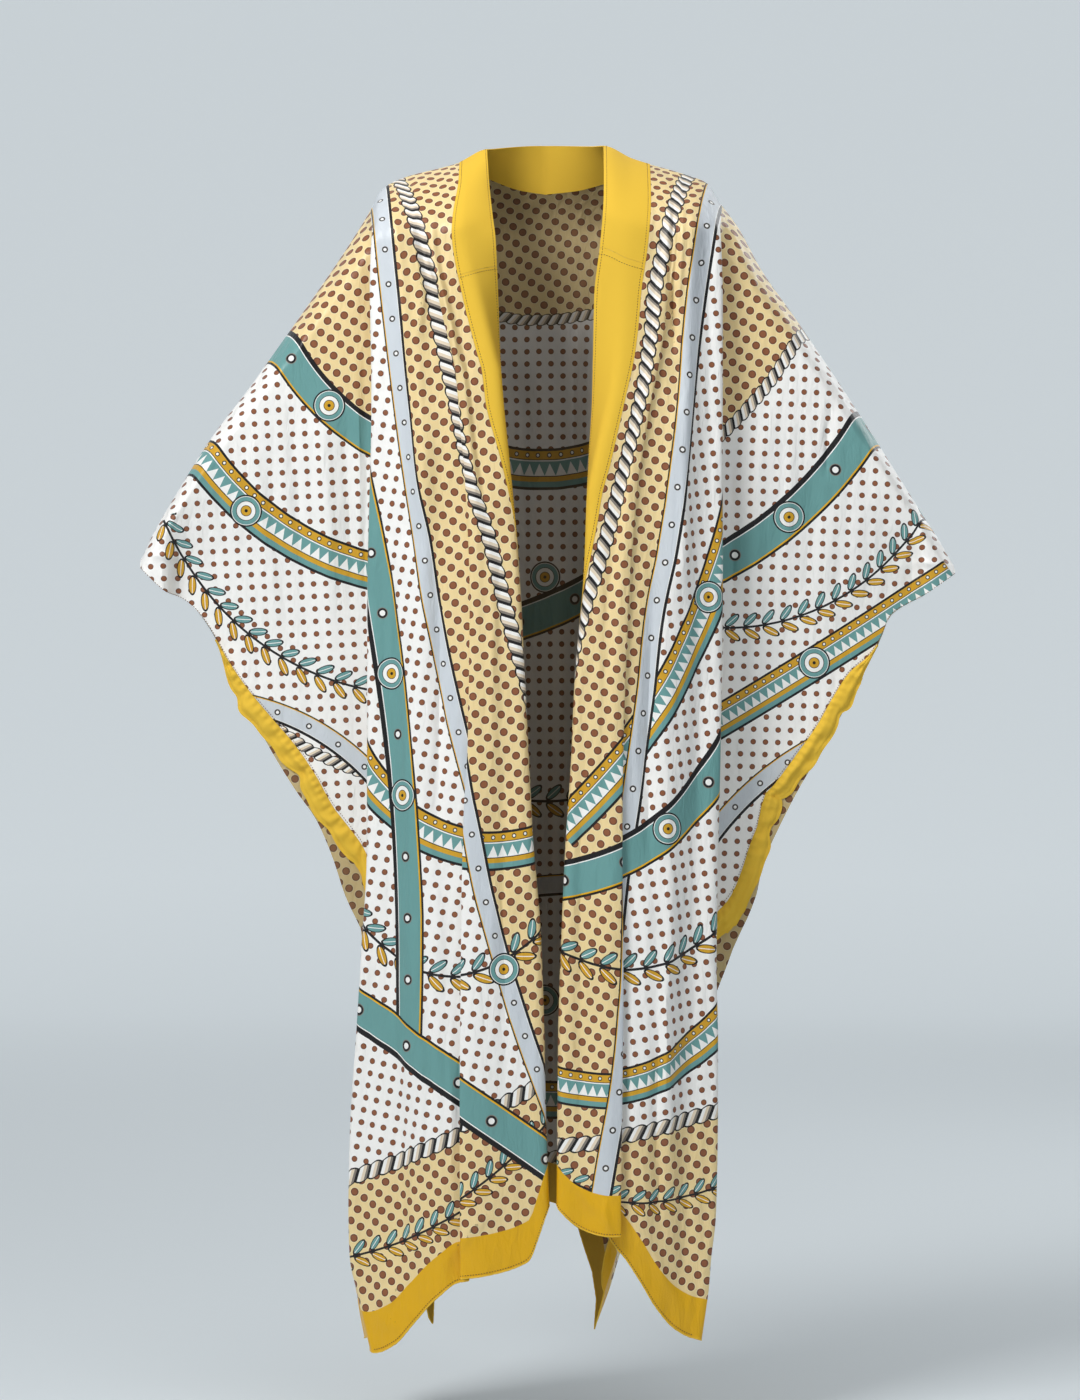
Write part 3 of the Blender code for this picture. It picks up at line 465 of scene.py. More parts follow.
SLEEVE_WRINKLES = tables(
    Wrinkle,
    right=[
        ([(222, 240), (216, 400), (220, 560)], 5, 3.0), ([(236, 300), (231, 430), (228, 560)], 5, -2.6),
        ([(262, 330), (252, 450), (258, 590)], 7, 2.4), ([(300, 300), (292, 420), (280, 560)], 6, -2.4),
        ([(344, 340), (332, 430), (318, 560)], 6, 2.6), ([(386, 400), (372, 470), (360, 560)], 5, -2.2),
        ([(410, 430), (402, 480), (396, 520)], 4, 2.2), ([(224, 600), (236, 660), (256, 710)], 6, 2.0),
        ([(452, 470), (446, 492), (440, 510)], 3, -0.7), ([(432, 438), (428, 462), (420, 500)], 4, 2.2),
        ([(464, 476), (440, 480), (424, 474)], 4, 1.4),
    ],
    left=[
        ([(209, 350), (211, 460), (216, 580)], 3.4, 3.2), ([(221, 340), (220, 460), (224, 560)], 3.4, -3.0),
        ([(252, 330), (246, 470), (252, 640)], 7, 2.4), ([(336, 297), (332, 340), (332, 390)], 3.6, -2.6),
        ([(352, 473), (346, 505), (340, 540)], 4, -2.6), ([(391, 519), (387, 548), (382, 578)], 3.6, 2.4),
        ([(412, 500), (409, 518), (405, 538)], 3.4, -2.2), ([(290, 300), (286, 430), (276, 600)], 7, 2.2),
        ([(228, 640), (240, 700), (256, 740)], 6, 2.0), ([(452, 470), (446, 492), (438, 512)], 3, -0.7),
        ([(434, 446), (428, 470), (424, 508)], 4, 2.2), ([(466, 490), (444, 486), (420, 492)], 4, 1.4),
    ],
)
BACK_WRINKLES = tables(
    Wrinkle,
    right=[
        ([(150, 60), (146, 160), (152, 260)], 6, -2.6), ([(60, 120), (74, 260), (70, 420)], 8, 2.4),
        ([(180, 420), (176, 640), (184, 860)], 7, 2.6), ([(60, 700), (64, 920), (58, 1180)], 7, -2.2),
        ([(150, 900), (146, 1120), (152, 1320)], 7, 2.4), ([(14, 820), (10, 1000), (16, 1200)], 7, 2.2),
    ],
    left=[
        ([(154, 70), (150, 150), (156, 250)], 5, 2.6), ([(40, 140), (34, 300), (40, 460)], 8, -2.2),
        ([(128, 500), (122, 720), (126, 940)], 7, -2.4), ([(174, 380), (170, 560), (174, 780)], 7, 2.6),
        ([(84, 800), (80, 1000), (86, 1230)], 7, 2.2), ([(134, 1000), (130, 1120), (136, 1260)], 6, -2.2),
    ],
)
BACK_SLEEVE_WRINKLES = tables(
    Wrinkle,
    right=[
        ([(230, 230), (224, 400), (228, 640)], 6, 3.0), ([(276, 300), (266, 450), (262, 620)], 6, -2.6),
        ([(330, 320), (320, 430), (304, 560)], 6, 2.6), ([(380, 400), (368, 470), (356, 560)], 5, -2.2),
        ([(240, 640), (252, 720), (262, 780)], 6, 2.0),
    ],
    left=[
        ([(226, 220), (222, 420), (230, 700)], 6, 3.0), ([(266, 280), (258, 460), (252, 660)], 6, -2.4),
        ([(318, 290), (308, 430), (292, 600)], 6, 2.6), ([(372, 370), (362, 470), (352, 570)], 5, -2.2),
        ([(420, 440), (412, 490), (404, 530)], 4, 2.0),
    ],
)


def read(rows, column, at):
    """A column of a table at any value of its first column, on a smooth curve that never overshoots a row."""
    known = np.array([row[0] for row in rows], float)
    value = np.array([getattr(row, column) for row in rows], float)
    rise = np.diff(value) / np.diff(known)
    slope = np.zeros(len(known))
    same_way = rise[:-1] * rise[1:] > 0
    slope[1:-1][same_way] = 2 * rise[:-1][same_way] * rise[1:][same_way] / (rise[:-1] + rise[1:])[same_way]
    slope[0], slope[-1] = rise[0], rise[-1]
    at = np.clip(np.asarray(at, float), known[0], known[-1])
    row = np.clip(np.searchsorted(known, at, side="right") - 1, 0, len(known) - 2)
    step = known[row + 1] - known[row]
    t = (at - known[row]) / step
    return (
        (2 * t**3 - 3 * t**2 + 1) * value[row]
        + (t**3 - 2 * t**2 + t) * step * slope[row]
        + (3 * t**2 - 2 * t**3) * value[row + 1]
        + (t**3 - t**2) * step * slope[row + 1]
    )


def row_at(rows, at):
    """Every column of a table but the first, read at any value of the first."""
    return {name: read(rows, name, at) for name in rows[0]._fields[1:]}


def ease(t):
    """Goes from 0 to 1 with a soft start and a soft end."""
    t = np.clip(t, 0, 1)
    return t * t * (3 - 2 * t)


def between(a, b, t):
    return a + (b - a) * t


def unit(vectors):
    """The vectors with their lengths made 1."""
    return vectors / np.maximum(np.linalg.norm(vectors, axis=-1, keepdims=True), LEAST_LENGTH)


def nearest(values, at):
    """The index of the value that is nearest to a number."""
    return int(np.argmin(np.abs(values - at)))


def run_along(points):
    """How far along its line each point is, for one line or for lines side by side."""
    steps = np.linalg.norm(np.diff(points, axis=0), axis=-1)
    return np.concatenate([np.zeros_like(steps[:1]), steps.cumsum(axis=0)])


def rounding(t):
    """The share of its full depth that the cloth has reached on its way over the shoulder or the arm."""
    t = np.clip(t, 0, 1)
    return (1 - (1 - t) ** SHOULDER_CURVE) ** SHOULDER_FULLNESS


def folds_over(creases, out, drop):
    """How far the standing folds lift the cloth at a point."""
    lift = np.zeros(np.broadcast(out, drop).shape)
    for crease in creases:
        along = (drop - crease.drop_top) / (crease.drop_low - crease.drop_top)
        middle = between(crease.top, crease.low, along)
        begun = ease((drop - crease.drop_top) / CREASE_FADE + 0.5)
        shown = begun * ease((crease.drop_low - drop) / CREASE_FADE + 0.5)
        lift = lift + crease.height * shown * np.exp(-(((out - middle) / crease.width) ** 2))
    return lift


def wrinkled(wrinkles, out, drop):
    """How far the finer creases lift the cloth, each tapering to nothing at both of its ends."""
    lift = np.zeros(np.broadcast(out, drop).shape)
    for wrinkle in wrinkles:
        path = np.array(wrinkle.path, float)
        runs = np.diff(path, axis=0)
        lengths = np.linalg.norm(runs, axis=1)
        least = np.full(lift.shape, np.inf)
        along = np.zeros(lift.shape)
        for k, (start, run) in enumerate(zip(path[:-1], runs)):
            t = np.clip(((out - start[0]) * run[0] + (drop - start[1]) * run[1]) / lengths[k] ** 2, 0, 1)
            away = np.hypot(out - start[0] - t * run[0], drop - start[1] - t * run[1])
            along = np.where(away < least, lengths[:k].sum() + t * lengths[k], along)
            least = np.minimum(away, least)
        taper = np.clip(np.sin(math.pi * along / lengths.sum()), 0, 1) ** WRINKLE_TAPER
        lift = lift + WRINKLE_STRENGTH * wrinkle.height * taper * np.exp(-((least / wrinkle.width) ** 2))
    return lift


def body_depth(side, face, out, drop):
    """How far the body of the coat stands out from the shoulder line, below the rounding of the shoulder."""
    middle = read(DEPTHS, face, drop)
    edge = read(DEPTHS, face + "_side", drop)
    depth = edge + (middle - edge) * (1 - (np.clip(out, 0, HALF_WIDTH) / HALF_WIDTH) ** SIDE_CURVE)
    if face == "front":
        return depth + folds_over(FRONT_CREASES[side], out, drop)
    return depth + folds_over(BACK_CREASES, SIDES[side] * out, drop)


def over_shoulder(side, out, drop):
    ridge = read(RIDGES[side], "drop", out)
    return rounding((drop - ridge) / read(RIDGES[side], "rounding", out))


def sleeve_depth(side, face, out, drop):
    """Half a sleeve's thickness: full under the arm, closing to the stitched line, open again at the cuff."""
    ridge = read(RIDGES[side], "drop", out)
    stitched = read(SLEEVE_EDGES[side], "stitched", out)
    cuff = ease((out - CUFF_CLOSED) / (CUFF_OPEN - CUFF_CLOSED))
    finer = SLEEVE_WRINKLES if face == "front" else BACK_SLEEVE_WRINKLES
    full = read(RIDGES[side], "arm", out) + folds_over(SLEEVE_CREASES, out, drop)
    full = full * over_shoulder(side, out, drop)
    full = full + wrinkled(finer[side], out, drop) * ease((drop - ridge) / RIDGE_CALM)
    return between(full, LAYER_GAP / 2, ease((drop - ridge) / (stitched - ridge)) * (1 - cuff))


@functools.cache
def rolled_edges(side):
    """The front edge in plan at even steps of drop: how far out it lies, and how far it has turned in."""
    drops = np.arange(ROLL_TABLE_TOP, LOWEST_DROP + ROLL_TABLE_STEP, ROLL_TABLE_STEP)
    opening = row_at(OPENINGS[side], drops[:, None])
    run = between(-opening["ease"], BAND_WIDTH, np.linspace(0, 1, ROLL_STEPS))
    angle = np.radians(opening["turn"]) * ease((run - opening["roll"]) / ROLL_WIDTH + 0.5)
    length = (BAND_WIDTH + opening["ease"]) / (ROLL_STEPS - 1)
    out = -np.cumsum(np.cos(angle), axis=-1) * length
    back = np.cumsum(np.sin(angle), axis=-1) * length
    return out - out.min(axis=-1, keepdims=True) + opening["edge"], back


def roll_of_edge(side, across, drop):
    """The front edge in plan: across runs from 1 at its free edge to 0 at the seam, and on into the front."""
    ease_length = read(OPENINGS[side], "ease", drop)
    share = (across * BAND_WIDTH + ease_length) / (BAND_WIDTH + ease_length)
    along = np.clip(share, 0, 1) * (ROLL_STEPS - 1)
    edges = rolled_edges(side)
    down = np.clip((drop - ROLL_TABLE_TOP) / ROLL_TABLE_STEP, 0, len(edges[0]) - 1 - TINY)
    i, j = down.astype(int), np.minimum(along.astype(int), ROLL_STEPS - 2)
    rows = [[between(edge[row, j], edge[row, j + 1], along - j) for row in (i, i + 1)] for edge in edges]
    return [between(above, below, down - i) for above, below in rows]


def turned(start, end, throw, t):
    """A fold laid back on itself: it runs past its start, back under by its throw, and on to its end."""
    return between(start, end, t) - throw * np.sin(math.pi * (2 * t - 1))


def front_at(side, place, drop):
    """A point of a front, by its place across the cloth and its drop: how far out and how far forward."""
    place, drop = np.broadcast_arrays(np.asarray(place, float), np.asarray(drop, float))
    seam_to_end = read(OPENINGS[side], "ease", drop) / BAND_WIDTH
    across = np.where(place < BAND_SEAM, BAND_SEAM - place, -(place - BAND_SEAM) * seam_to_end)
    rolled, behind = roll_of_edge(side, across, drop)
    roll_end, _ = roll_of_edge(side, -seam_to_end, drop)
    pleat, fold = row_at(PLEATS[side], drop), row_at(FRONT_FOLDS[side], drop)
    start = np.maximum(pleat["start"], roll_end + PLEAT_CLEAR)
    end = np.maximum(pleat["end"], start + PLEAT_CLEAR)
    level = between(roll_end, start, place - ROLL_END)
    pleated = turned(start, end, pleat["throw"], place - PLEAT_START)
    outer = between(end, fold["start"], place - PLEAT_END)
    out_inside, depth_inside = side_at(side, "front", fold, place, drop)
    before = [place < ROLL_END, place < PLEAT_START, place < PLEAT_END, place < SIDE_FOLD]
    out = np.select(before, [rolled, level, pleated, outer], out_inside)
    proud = np.select(before[:3], [0 * drop, ease(place - ROLL_END), 1 - ease(place - PLEAT_START)], 0)
    depth = body_depth(side, "front", np.maximum(out, 0), drop) + proud * pleat["lift"]
    at_pleat = PLEAT_CALM * np.exp(-(((place - PLEAT_MIDDLE) / PLEAT_CALM_REACH) ** 2))
    shown = ease(place - BAND_SEAM) * (1 - at_pleat) * (1 - ease((place - SIDE_CALM_START) * SIDE_CALM_RATE))
    depth = depth + wrinkled(FRONT_WRINKLES[side], out, drop) * shown
    on_band = np.where(place < BAND_SEAM, np.sin(math.pi * place), 0)
    depth = depth + wrinkled(BAND_WRINKLES[side], out, drop) * on_band
    depth = (depth - np.where(before[0], behind, 0)) * over_shoulder(side, out, drop)
    return out, np.where(before[3], depth, depth_inside)


def back_at(side, place, drop):
    """A point of one half of the back: how far out it is, and how far behind the shoulder line."""
    place, drop = np.broadcast_arrays(np.asarray(place, float), np.asarray(drop, float))
    fold = row_at(BACK_FOLDS[side], drop)
    out_inside, depth_inside = side_at(side, "back", fold, place, drop)
    corner = neck_corner(side)[0]
    yoke = corner * (place - CENTRE_BACK)
    outer = between(corner, fold["start"], (place - NECK_CORNER) / (SIDE_FOLD - NECK_CORNER))
    out = np.select([place < NECK_CORNER, place < SIDE_FOLD], [yoke, outer], out_inside)
    off_side = 1 - ease((place - SIDE_CALM_START) * SIDE_CALM_RATE)
    shown = ease((place - CENTRE_BACK) * CENTRE_CALM_RATE) * off_side
    depth = body_depth(side, "back", out, drop) + wrinkled(BACK_WRINKLES[side], out, drop) * shown
    return out, np.where(place < SIDE_FOLD, depth * over_shoulder(side, out, drop), depth_inside)


def side_at(side, face, fold, place, drop):
    """The cloth from the side fold to the wrist, on either face of the coat."""
    choices = [place < FOLD_END, place < SIDE_SEAM]
    folded = turned(fold["start"], fold["end"], fold["throw"], np.clip(place - SIDE_FOLD, 0, 1))
    inside = between(fold["end"], fold["seam"], place - FOLD_END)
    sleeve = between(fold["seam"], SLEEVE_END[side], place - SIDE_SEAM)
    out = np.select(choices, [folded, inside], sleeve)
    before = body_depth(side, face, fold["start"], drop)
    layer = read(DEPTHS, "layer", drop)
    rounded = over_shoulder(side, out, drop)
    in_body = drop > SLEEVE_EDGES[side][0].stitched
    at_seam = np.where(in_body, LAYER_GAP / 2, sleeve_depth(side, face, out, drop))
    folding = between(before, layer, ease(place - SIDE_FOLD)) * rounded
    hidden = between(layer * rounded, at_seam, ease(place - FOLD_END))
    return out, np.select(choices, [folding, hidden], at_seam)


def top_drop(side, at, place):
    """Where a line of the cloth's grain meets the ridge of shoulder and arm."""
    drop = np.zeros(np.shape(place))
    for _ in range(SETTLING_ROUNDS):
        drop = read(RIDGES[side], "drop", np.abs(at(side, place, drop)[0]))
    return drop


@functools.cache
def neck_corner(side):
    """Where the neck band's seam crosses the shoulder ridge: how far out, and its drop."""
    drop = top_drop(side, front_at, np.array(1.0))
    return float(front_at(side, 1.0, drop)[0]), float(drop)


def ends_of_grain(side, face, places):
    """The drops at which each line of the grain starts, reaches the underarm or sleeve edge, and ends."""
    top = top_drop(side, front_at if face == "front" else back_at, places)
    edge = "stitched" if face == "front" else "back"
    if face == "back":
        corner = neck_corner(side)[1]
        middle = (neck_corner("right")[1] + neck_corner("left")[1]) / 2
        neckline = between(middle, corner, places - CENTRE_BACK) + read(NECKLINE, "dip", places - CENTRE_BACK)
        top = np.where(places < NECK_CORNER, neckline, top)
    underarm = float(getattr(SLEEVE_EDGES[side][0], edge))
    low = np.full(places.shape, underarm)
    folds, hems = (FRONT_FOLDS, FRONT_HEMS) if face == "front" else (BACK_FOLDS, BACK_HEMS)
    for _ in range(SETTLING_ROUNDS):
        seam = read(folds[side], "seam", low)
        out = between(seam, SLEEVE_END[side], np.maximum(places - SIDE_SEAM, 0))
        low = np.where(places > SIDE_SEAM, read(SLEEVE_EDGES[side], edge, out), underarm)
    return top, low, read(hems[side], "drop", np.minimum(places, SIDE_SEAM))


def cell_places(stretches):
    """The places across the cloth, with each stretch cut into its own number of cells."""
    places = [np.linspace(each.start, each.end, each.cells, endpoint=False) for each in stretches.values()]
    return np.append(np.concatenate(places), list(stretches.values())[-1].end)


def row_places(side=None):
    """The rows from the shoulder to the hem; on a front, one of them lies on the band's cross seam."""
    rows = np.concatenate([np.linspace(0, 1, UPPER_ROWS + 1), 1 + np.linspace(0, 1, LOWER_ROWS + 1)[1:]])
    if side:
        rows[nearest(rows, CROSS_SEAM[side])] = CROSS_SEAM[side]
    return rows


Sheet = namedtuple("Sheet", "points normals places rows drop u v hem_distance")


@functools.cache
def cloth_sheet(side, face):
    """A whole front with its band, or half the back: its points, normals towards the wearer, and grain."""
    front = face == "front"
    at, stretches, way = (front_at, FRONT_STRETCHES, -1.0) if front else (back_at, BACK_STRETCHES, 1.0)
    places, rows = cell_places(stretches), row_places(side if front else None)
    top, low, hem = ends_of_grain(side, face, places)
    place, row = np.meshgrid(places, rows)
    upper = between(top, low, np.clip(row, 0, 1) ** ROW_GROWTH)
    drop = np.where(row > UNDERARM, between(low, hem, row - 1), upper)
    out, depth = at(side, place, drop)
    points = np.stack([SIDES[side] * out, way * np.maximum(depth, SEAM_GAP / 2), -drop], axis=-1)
    normals = facing_wearer(side, points, places, way)
    u, v = grain(side, face, places, drop, points)
    return Sheet(points, normals, places, rows, drop, SIDES[side] * u, v, hem - drop)


def facing_wearer(side, points, places, way):
    """Normals from the cloth on both sides of each point, and upright on the ridge of shoulder and arm."""
    body = nearest(places, SIDE_SEAM) + 1
    upper = UPPER_ROWS + 1
    along = np.gradient(points, axis=0)
    along[:upper, body:] = np.gradient(points[:upper, body:], axis=0)
    across = np.gradient(points, axis=1)
    across[upper:, :body] = np.gradient(points[upper:, :body], axis=1)
    on_ridge = (places > NECK_CORNER - TINY) | (way < 0)
    along[0, on_ridge] = (0.0, way, 0.0)
    return unit(np.cross(across, along) * SIDES[side] * -way)


def grain(side, face, places, drop, points):
    """How far each point is across the cloth from the middle, and how far down it, measured on the cloth."""
    at = front_at if face == "front" else back_at
    drops = np.arange(0, LOWEST_DROP, GRAIN_STEP)
    place, level = np.meshgrid(places, drops)
    out, depth = at(side, place, level)
    in_plan = ease((level[:, 1:] - PLAN_GRAIN_DROP) / PLAN_GRAIN_EASE)
    share = np.where(places[1:] <= ROLL_END, 1, np.where(places[1:] <= SIDE_SEAM, in_plan, 0))
    steps = between(np.abs(np.diff(out)), np.hypot(np.diff(out), np.diff(depth)), share)
    run = np.concatenate([np.zeros((len(drops), 1)), np.cumsum(steps, axis=1)], axis=1)
    body = nearest(places, SIDE_FOLD) if face == "front" else 0
    seam = nearest(places, SLEEVE_GRAIN_START)
    body_u, sleeve_u = (run - run[:, [column]] + out[:, [column]] for column in (body, seam))
    tabled = between(body_u, sleeve_u, ease((places - SIDE_FOLD - SLEEVE_GRAIN_SHIFT) / SLEEVE_GRAIN_EASE))
    level = np.clip(drop / GRAIN_STEP, 0, len(drops) - 1 - TINY)
    i, column = level.astype(int), np.arange(len(places))
    u = between(tabled[i, column], tabled[i + 1, column], level - i)
    steps = np.linalg.norm(np.diff(points[..., 1:], axis=0), axis=-1) - np.abs(np.diff(drop, axis=0))
    extra = np.cumsum(np.clip(steps, 0, None)[::-1], axis=0)[::-1]
    extra = np.concatenate([extra, np.zeros((1, len(places)))])
    settled = extra - extra[nearest(row_places(), GRAIN_ROW)]
    return u, drop - np.clip(settled, 0, None)


def new_object(name, data):
    """An object of that data, in the scene."""
    made = bpy.data.objects.new(name, data)
    bpy.context.scene.collection.objects.link(made)
    return made


def wall(name, points, normals, used, thickness, finishes, uv, hem_distance=None, regions=None):
    """Makes a closed wall of even thickness on a sheet of points.

    Each region of its cells has two material slots, for the outer skin and the inner one.
    """
    rows, columns = used.shape
    count = points.shape[0] * points.shape[1]
    skins = [(points - normals * thickness / 2) * MM, (points + normals * thickness / 2) * MM]
    vertex = np.arange(count).reshape(points.shape[:2])
    ring = np.stack([vertex[:-1, :-1], vertex[:-1, 1:], vertex[1:, 1:], vertex[1:, :-1]], axis=-1)
    cells = ring[used]
    regions = np.zeros(used.shape, int) if regions is None else regions
    slots = [2 * regions[used], 2 * regions[used] + 1]
    rims = []
    bordered = np.pad(used, 1)
    for first, second, down, over in ((0, 1, -1, 0), (1, 2, 0, 1), (2, 3, 1, 0), (3, 0, 0, -1)):
        free = used & ~bordered[1 + down : 1 + down + rows, 1 + over : 1 + over + columns]
        a, b = ring[free][:, first], ring[free][:, second]
        rims.append(np.stack([b, a, a + count, b + count], axis=-1))
        slots.append(2 * regions[free])
    faces = np.concatenate([cells, cells[:, ::-1] + count, *rims])
    outward = np.cross(points[:-1, 1:] - points[:-1, :-1], points[1:, :-1] - points[:-1, :-1])
    if (outward * normals[:-1, :-1])[used].sum() < 0:
        faces = faces[:, ::-1]
    kept, corners = np.unique(faces, return_inverse=True)
    faces = corners.reshape(faces.shape)
    mesh = bpy.data.meshes.new(name)
    mesh.from_pydata(np.concatenate(skins).reshape(-1, 3)[kept].tolist(), [], faces.tolist())
    for finish in finishes:
        mesh.materials.append(finish)
    mesh.polygons.foreach_set("material_index", np.concatenate(slots))
    flat = np.tile(uv.reshape(-1, 2), (2, 1))[kept] * MM
    mesh.uv_layers.new(name="cloth").data.foreach_set("uv", flat[faces.ravel()].ravel())
    if hem_distance is not None:
        values = np.tile(hem_distance.ravel(), 2)[kept] * MM
        mesh.attributes.new("hem_distance", "FLOAT", "POINT").data.foreach_set("value", values)
    mesh.shade_smooth()
    mesh.set_sharp_from_angle(angle=math.radians(SHARP_ANGLE))
    return new_object(name, mesh)


# The print. A ribbon of pattern follows the arc through three points, given by distance from the coat's
# middle, below nought on the wearer's right, and drop. Its kind sets its drawing, and its shade is a strap's.
Ribbon = namedtuple("Ribbon", "kind start middle end width shade")
RIBBONS = tables(
    Ribbon,
    body_right=[
        ("strap", (-200, -60), (-126, 520), (70, 1170), 24, 2),
        ("strap", (-238, 330), (-172, 660), (-150, 1052), 42, 1),
        ("striped", (-235, 690), (-120, 806), (60, 800), 46, 0),
        ("leaf", (-235, 880), (-100, 968), (60, 880), 42, 0),
        ("rope", (-235, 1208), (-90, 1154), (60, 1080), 20, 0),
        ("strap", (-235, 1000), (-110, 1075), (60, 1190), 46, 1),
        ("leaf", (-235, 1300), (-110, 1255), (60, 1120), 36, 0),
        ("rope", (-190, -90), (-92, 320), (20, 690), 20, 0),
    ],
    sleeve_right=[
        ("strap", (-330, 170), (-262, 292), (-120, 372), 42, 1),
        ("striped", (-420, 330), (-330, 436), (-180, 500), 46, 0),
        ("leaf", (-450, 430), (-362, 560), (-180, 640), 38, 0),
        ("rope", (-360, 640), (-280, 706), (-180, 742), 15, 0),
        ("strap", (-160, 800), (-240, 704), (-365, 650), 24, 2),
    ],
    body_left=[
        ("strap", (212, -60), (118, 560), (10, 1300), 26, 2),
        ("striped", (245, 300), (178, 560), (-10, 800), 44, 0),
        ("rope", (184, -90), (92, 310), (0, 640), 20, 0),
        ("strap", (245, 650), (130, 800), (-40, 860), 46, 1),
        ("leaf", (240, 880), (120, 955), (-40, 930), 42, 0),
        ("striped", (240, 985), (110, 1085), (-45, 1090), 42, 0),
        ("rope", (240, 1116), (100, 1148), (-45, 1164), 20, 0),
        ("leaf", (240, 1200), (100, 1230), (-45, 1190), 34, 0),
    ],
    sleeve_left=[
        ("rope", (330, 140), (250, 290), (110, 400), 16, 0),
        ("strap", (400, 280), (300, 420), (120, 520), 46, 1),
        ("leaf", (460, 400), (360, 520), (180, 560), 36, 0),
        ("striped", (480, 500), (320, 604), (170, 694), 40, 0),
        ("strap", (370, 680), (256, 745), (170, 850), 24, 2),
    ],
    back=[
        ("striped", (-215, 250), (0, 370), (215, 230), 50, 0),
        ("strap", (-240, 560), (-60, 560), (240, 330), 46, 1),
        ("leaf", (-230, 640), (0, 770), (240, 620), 44, 0),
        ("strap", (-240, 1010), (30, 870), (240, 940), 26, 2),
        ("striped", (-240, 1020), (0, 1130), (240, 1040), 46, 0),
        ("rope", (-240, 1190), (0, 1200), (240, 1150), 17, 0),
        ("leaf", (-240, 1290), (0, 1240), (240, 1260), 32, 0),
        ("rope", (-215, 90), (0, 190), (215, 70), 15, 0),
    ],
    back_sleeve_right=[
        ("rope", (-330, 160), (-260, 280), (-130, 380), 15, 0),
        ("strap", (-400, 290), (-300, 410), (-140, 480), 44, 1),
        ("leaf", (-450, 420), (-350, 530), (-180, 590), 36, 0),
        ("striped", (-400, 520), (-300, 640), (-180, 700), 42, 0),
    ],
    back_sleeve_left=[
        ("strap", (340, 170), (262, 300), (130, 380), 42, 1),
        ("rope", (400, 320), (300, 440), (150, 500), 16, 0),
        ("striped", (450, 400), (340, 520), (180, 600), 44, 0),
        ("leaf", (380, 560), (290, 660), (180, 740), 36, 0),
    ],
)

# Where the ground is white: on the far side of the first ribbons named, from the point given after them
Ground = namedtuple("Ground", "ribbons inside")
GROUNDS = {
    "body_right": Ground([0, 4], (-190, 800)),
    "sleeve_right": Ground([0], (-280, 500)),
    "body_left": Ground([0, 6], (190, 800)),
    "sleeve_left": Ground([0], (280, 560)),
    "back": Ground([7, 5], (0, 700)),
    "back_sleeve_right": Ground([0, 3], (-280, 500)),
    "back_sleeve_left": Ground([0, 3], (280, 500)),
}

# Round medallions, by distance from the middle and drop. One that is near a hole of a strap covers it.
ROSETTE_RADIUS = 19.0
HOLE_REACH = 26.0
ROSETTES = {
    "body_right": [(-176, 606), (-158, 776), (-8, 980)],
    "sleeve_right": [(-262, 292), (-352, 424)],
    "body_left": [(190, 528), (132, 800)],
    "sleeve_left": [(300, 420), (318, 604)],
    "back": [(0, 500), (-120, 900), (130, 820), (0, 1010)],
    "back_sleeve_right": [(-300, 540)],
    "back_sleeve_left": [(320, 440)],
}

# The dots: the step of their lattice across and down, its slant in degrees, and their radius
DOT_HALO = 1.16
Dots = namedtuple("Dots", "across down slant radius")
DOTS_ON_BEIGE = Dots(13.5, 15.6, -31, 4.7)
DOTS_ON_WHITE = {
    "body_right": Dots(14.4, 14.6, -11, 3.5),
    "sleeve_right": Dots(14.6, 14.8, 3, 3.3),
    "body_left": Dots(14.4, 14.6, 9, 3.5),
    "sleeve_left": Dots(14.6, 14.8, -2, 3.3),
    "back": Dots(14.5, 14.7, 0, 3.4),
    "back_sleeve_right": Dots(14.6, 14.8, 3, 3.3),
    "back_sleeve_left": Dots(14.6, 14.8, -3, 3.3),
}
PRINT_BREAK = 5.5

# How the ribbons are drawn, in half widths: a strap's holes, triangles and studs, a cord's twist, and leaves
SHADE_STEP = 0.4
HOLE_STEP = 1.7
TRIANGLE_STEP = 0.26
TRIANGLE_RISE = 1.15
TRIANGLE_FOOT = 0.36
TRIANGLE_ROW = (0.51, 0.15)
STUD_STEP = 0.3
STUD_ROW = 0.68
TWIST = 0.62
TWIST_SLANT = 0.42
STRAND = 0.72
STRAND_BULGE = 0.26
STRAND_RIM = 0.16
LEAF_STEP = 0.62
LEAF_PLACE = (0.06, 0.48)
LEAF_TURN = 38
LEAF_SIZE = (0.62, 0.25)
LEAF_INSIDE = 0.8
VEIN = 0.09
STEM = 0.07

# Stops of colour: where each starts, and its colour, or none where the ground shows
DOT_ON_BEIGE = ((0, "brown"), (0.62, "dark_brown"), (0.86, "light"), (1, None))
DOT_ON_WHITE = ((0, "brown"), (0.62, "dark_brown"), (0.86, None))
STRAP_SHADES = ((0, "grey"), (0.3, "teal"), (0.7, "pale"))
STRAP_EDGES = ((0, "black"), (0.13, "white"), (0.16, None), (0.9, "gold"), (0.94, "black"))
STRAP_RINGS = ((0, "white"), (0.16, "black"), (0.27, "shadow"), (0.31, None))
LOW_STRIPES = ((0, "black"), (0.06, "mustard"), (0.26, "black"), (0.28, "white"), (0.31, "teal"))
HIGH_STRIPES = ((0.36, "white"), (0.66, "black"), (0.68, "mustard"), (0.8, "teal"), (0.93, "black"))
STUDS = ((0, "white"), (0.07, "black"), (0.12, None))
STRANDS = ((0, "black"), (0.13, "white"), (0.42, "cream"), (0.68, "shadow"), (0.88, "black"))
INNER_RINGS = ((0, "black"), (0.1, "mustard"), (0.3, "black"), (0.34, "white"))
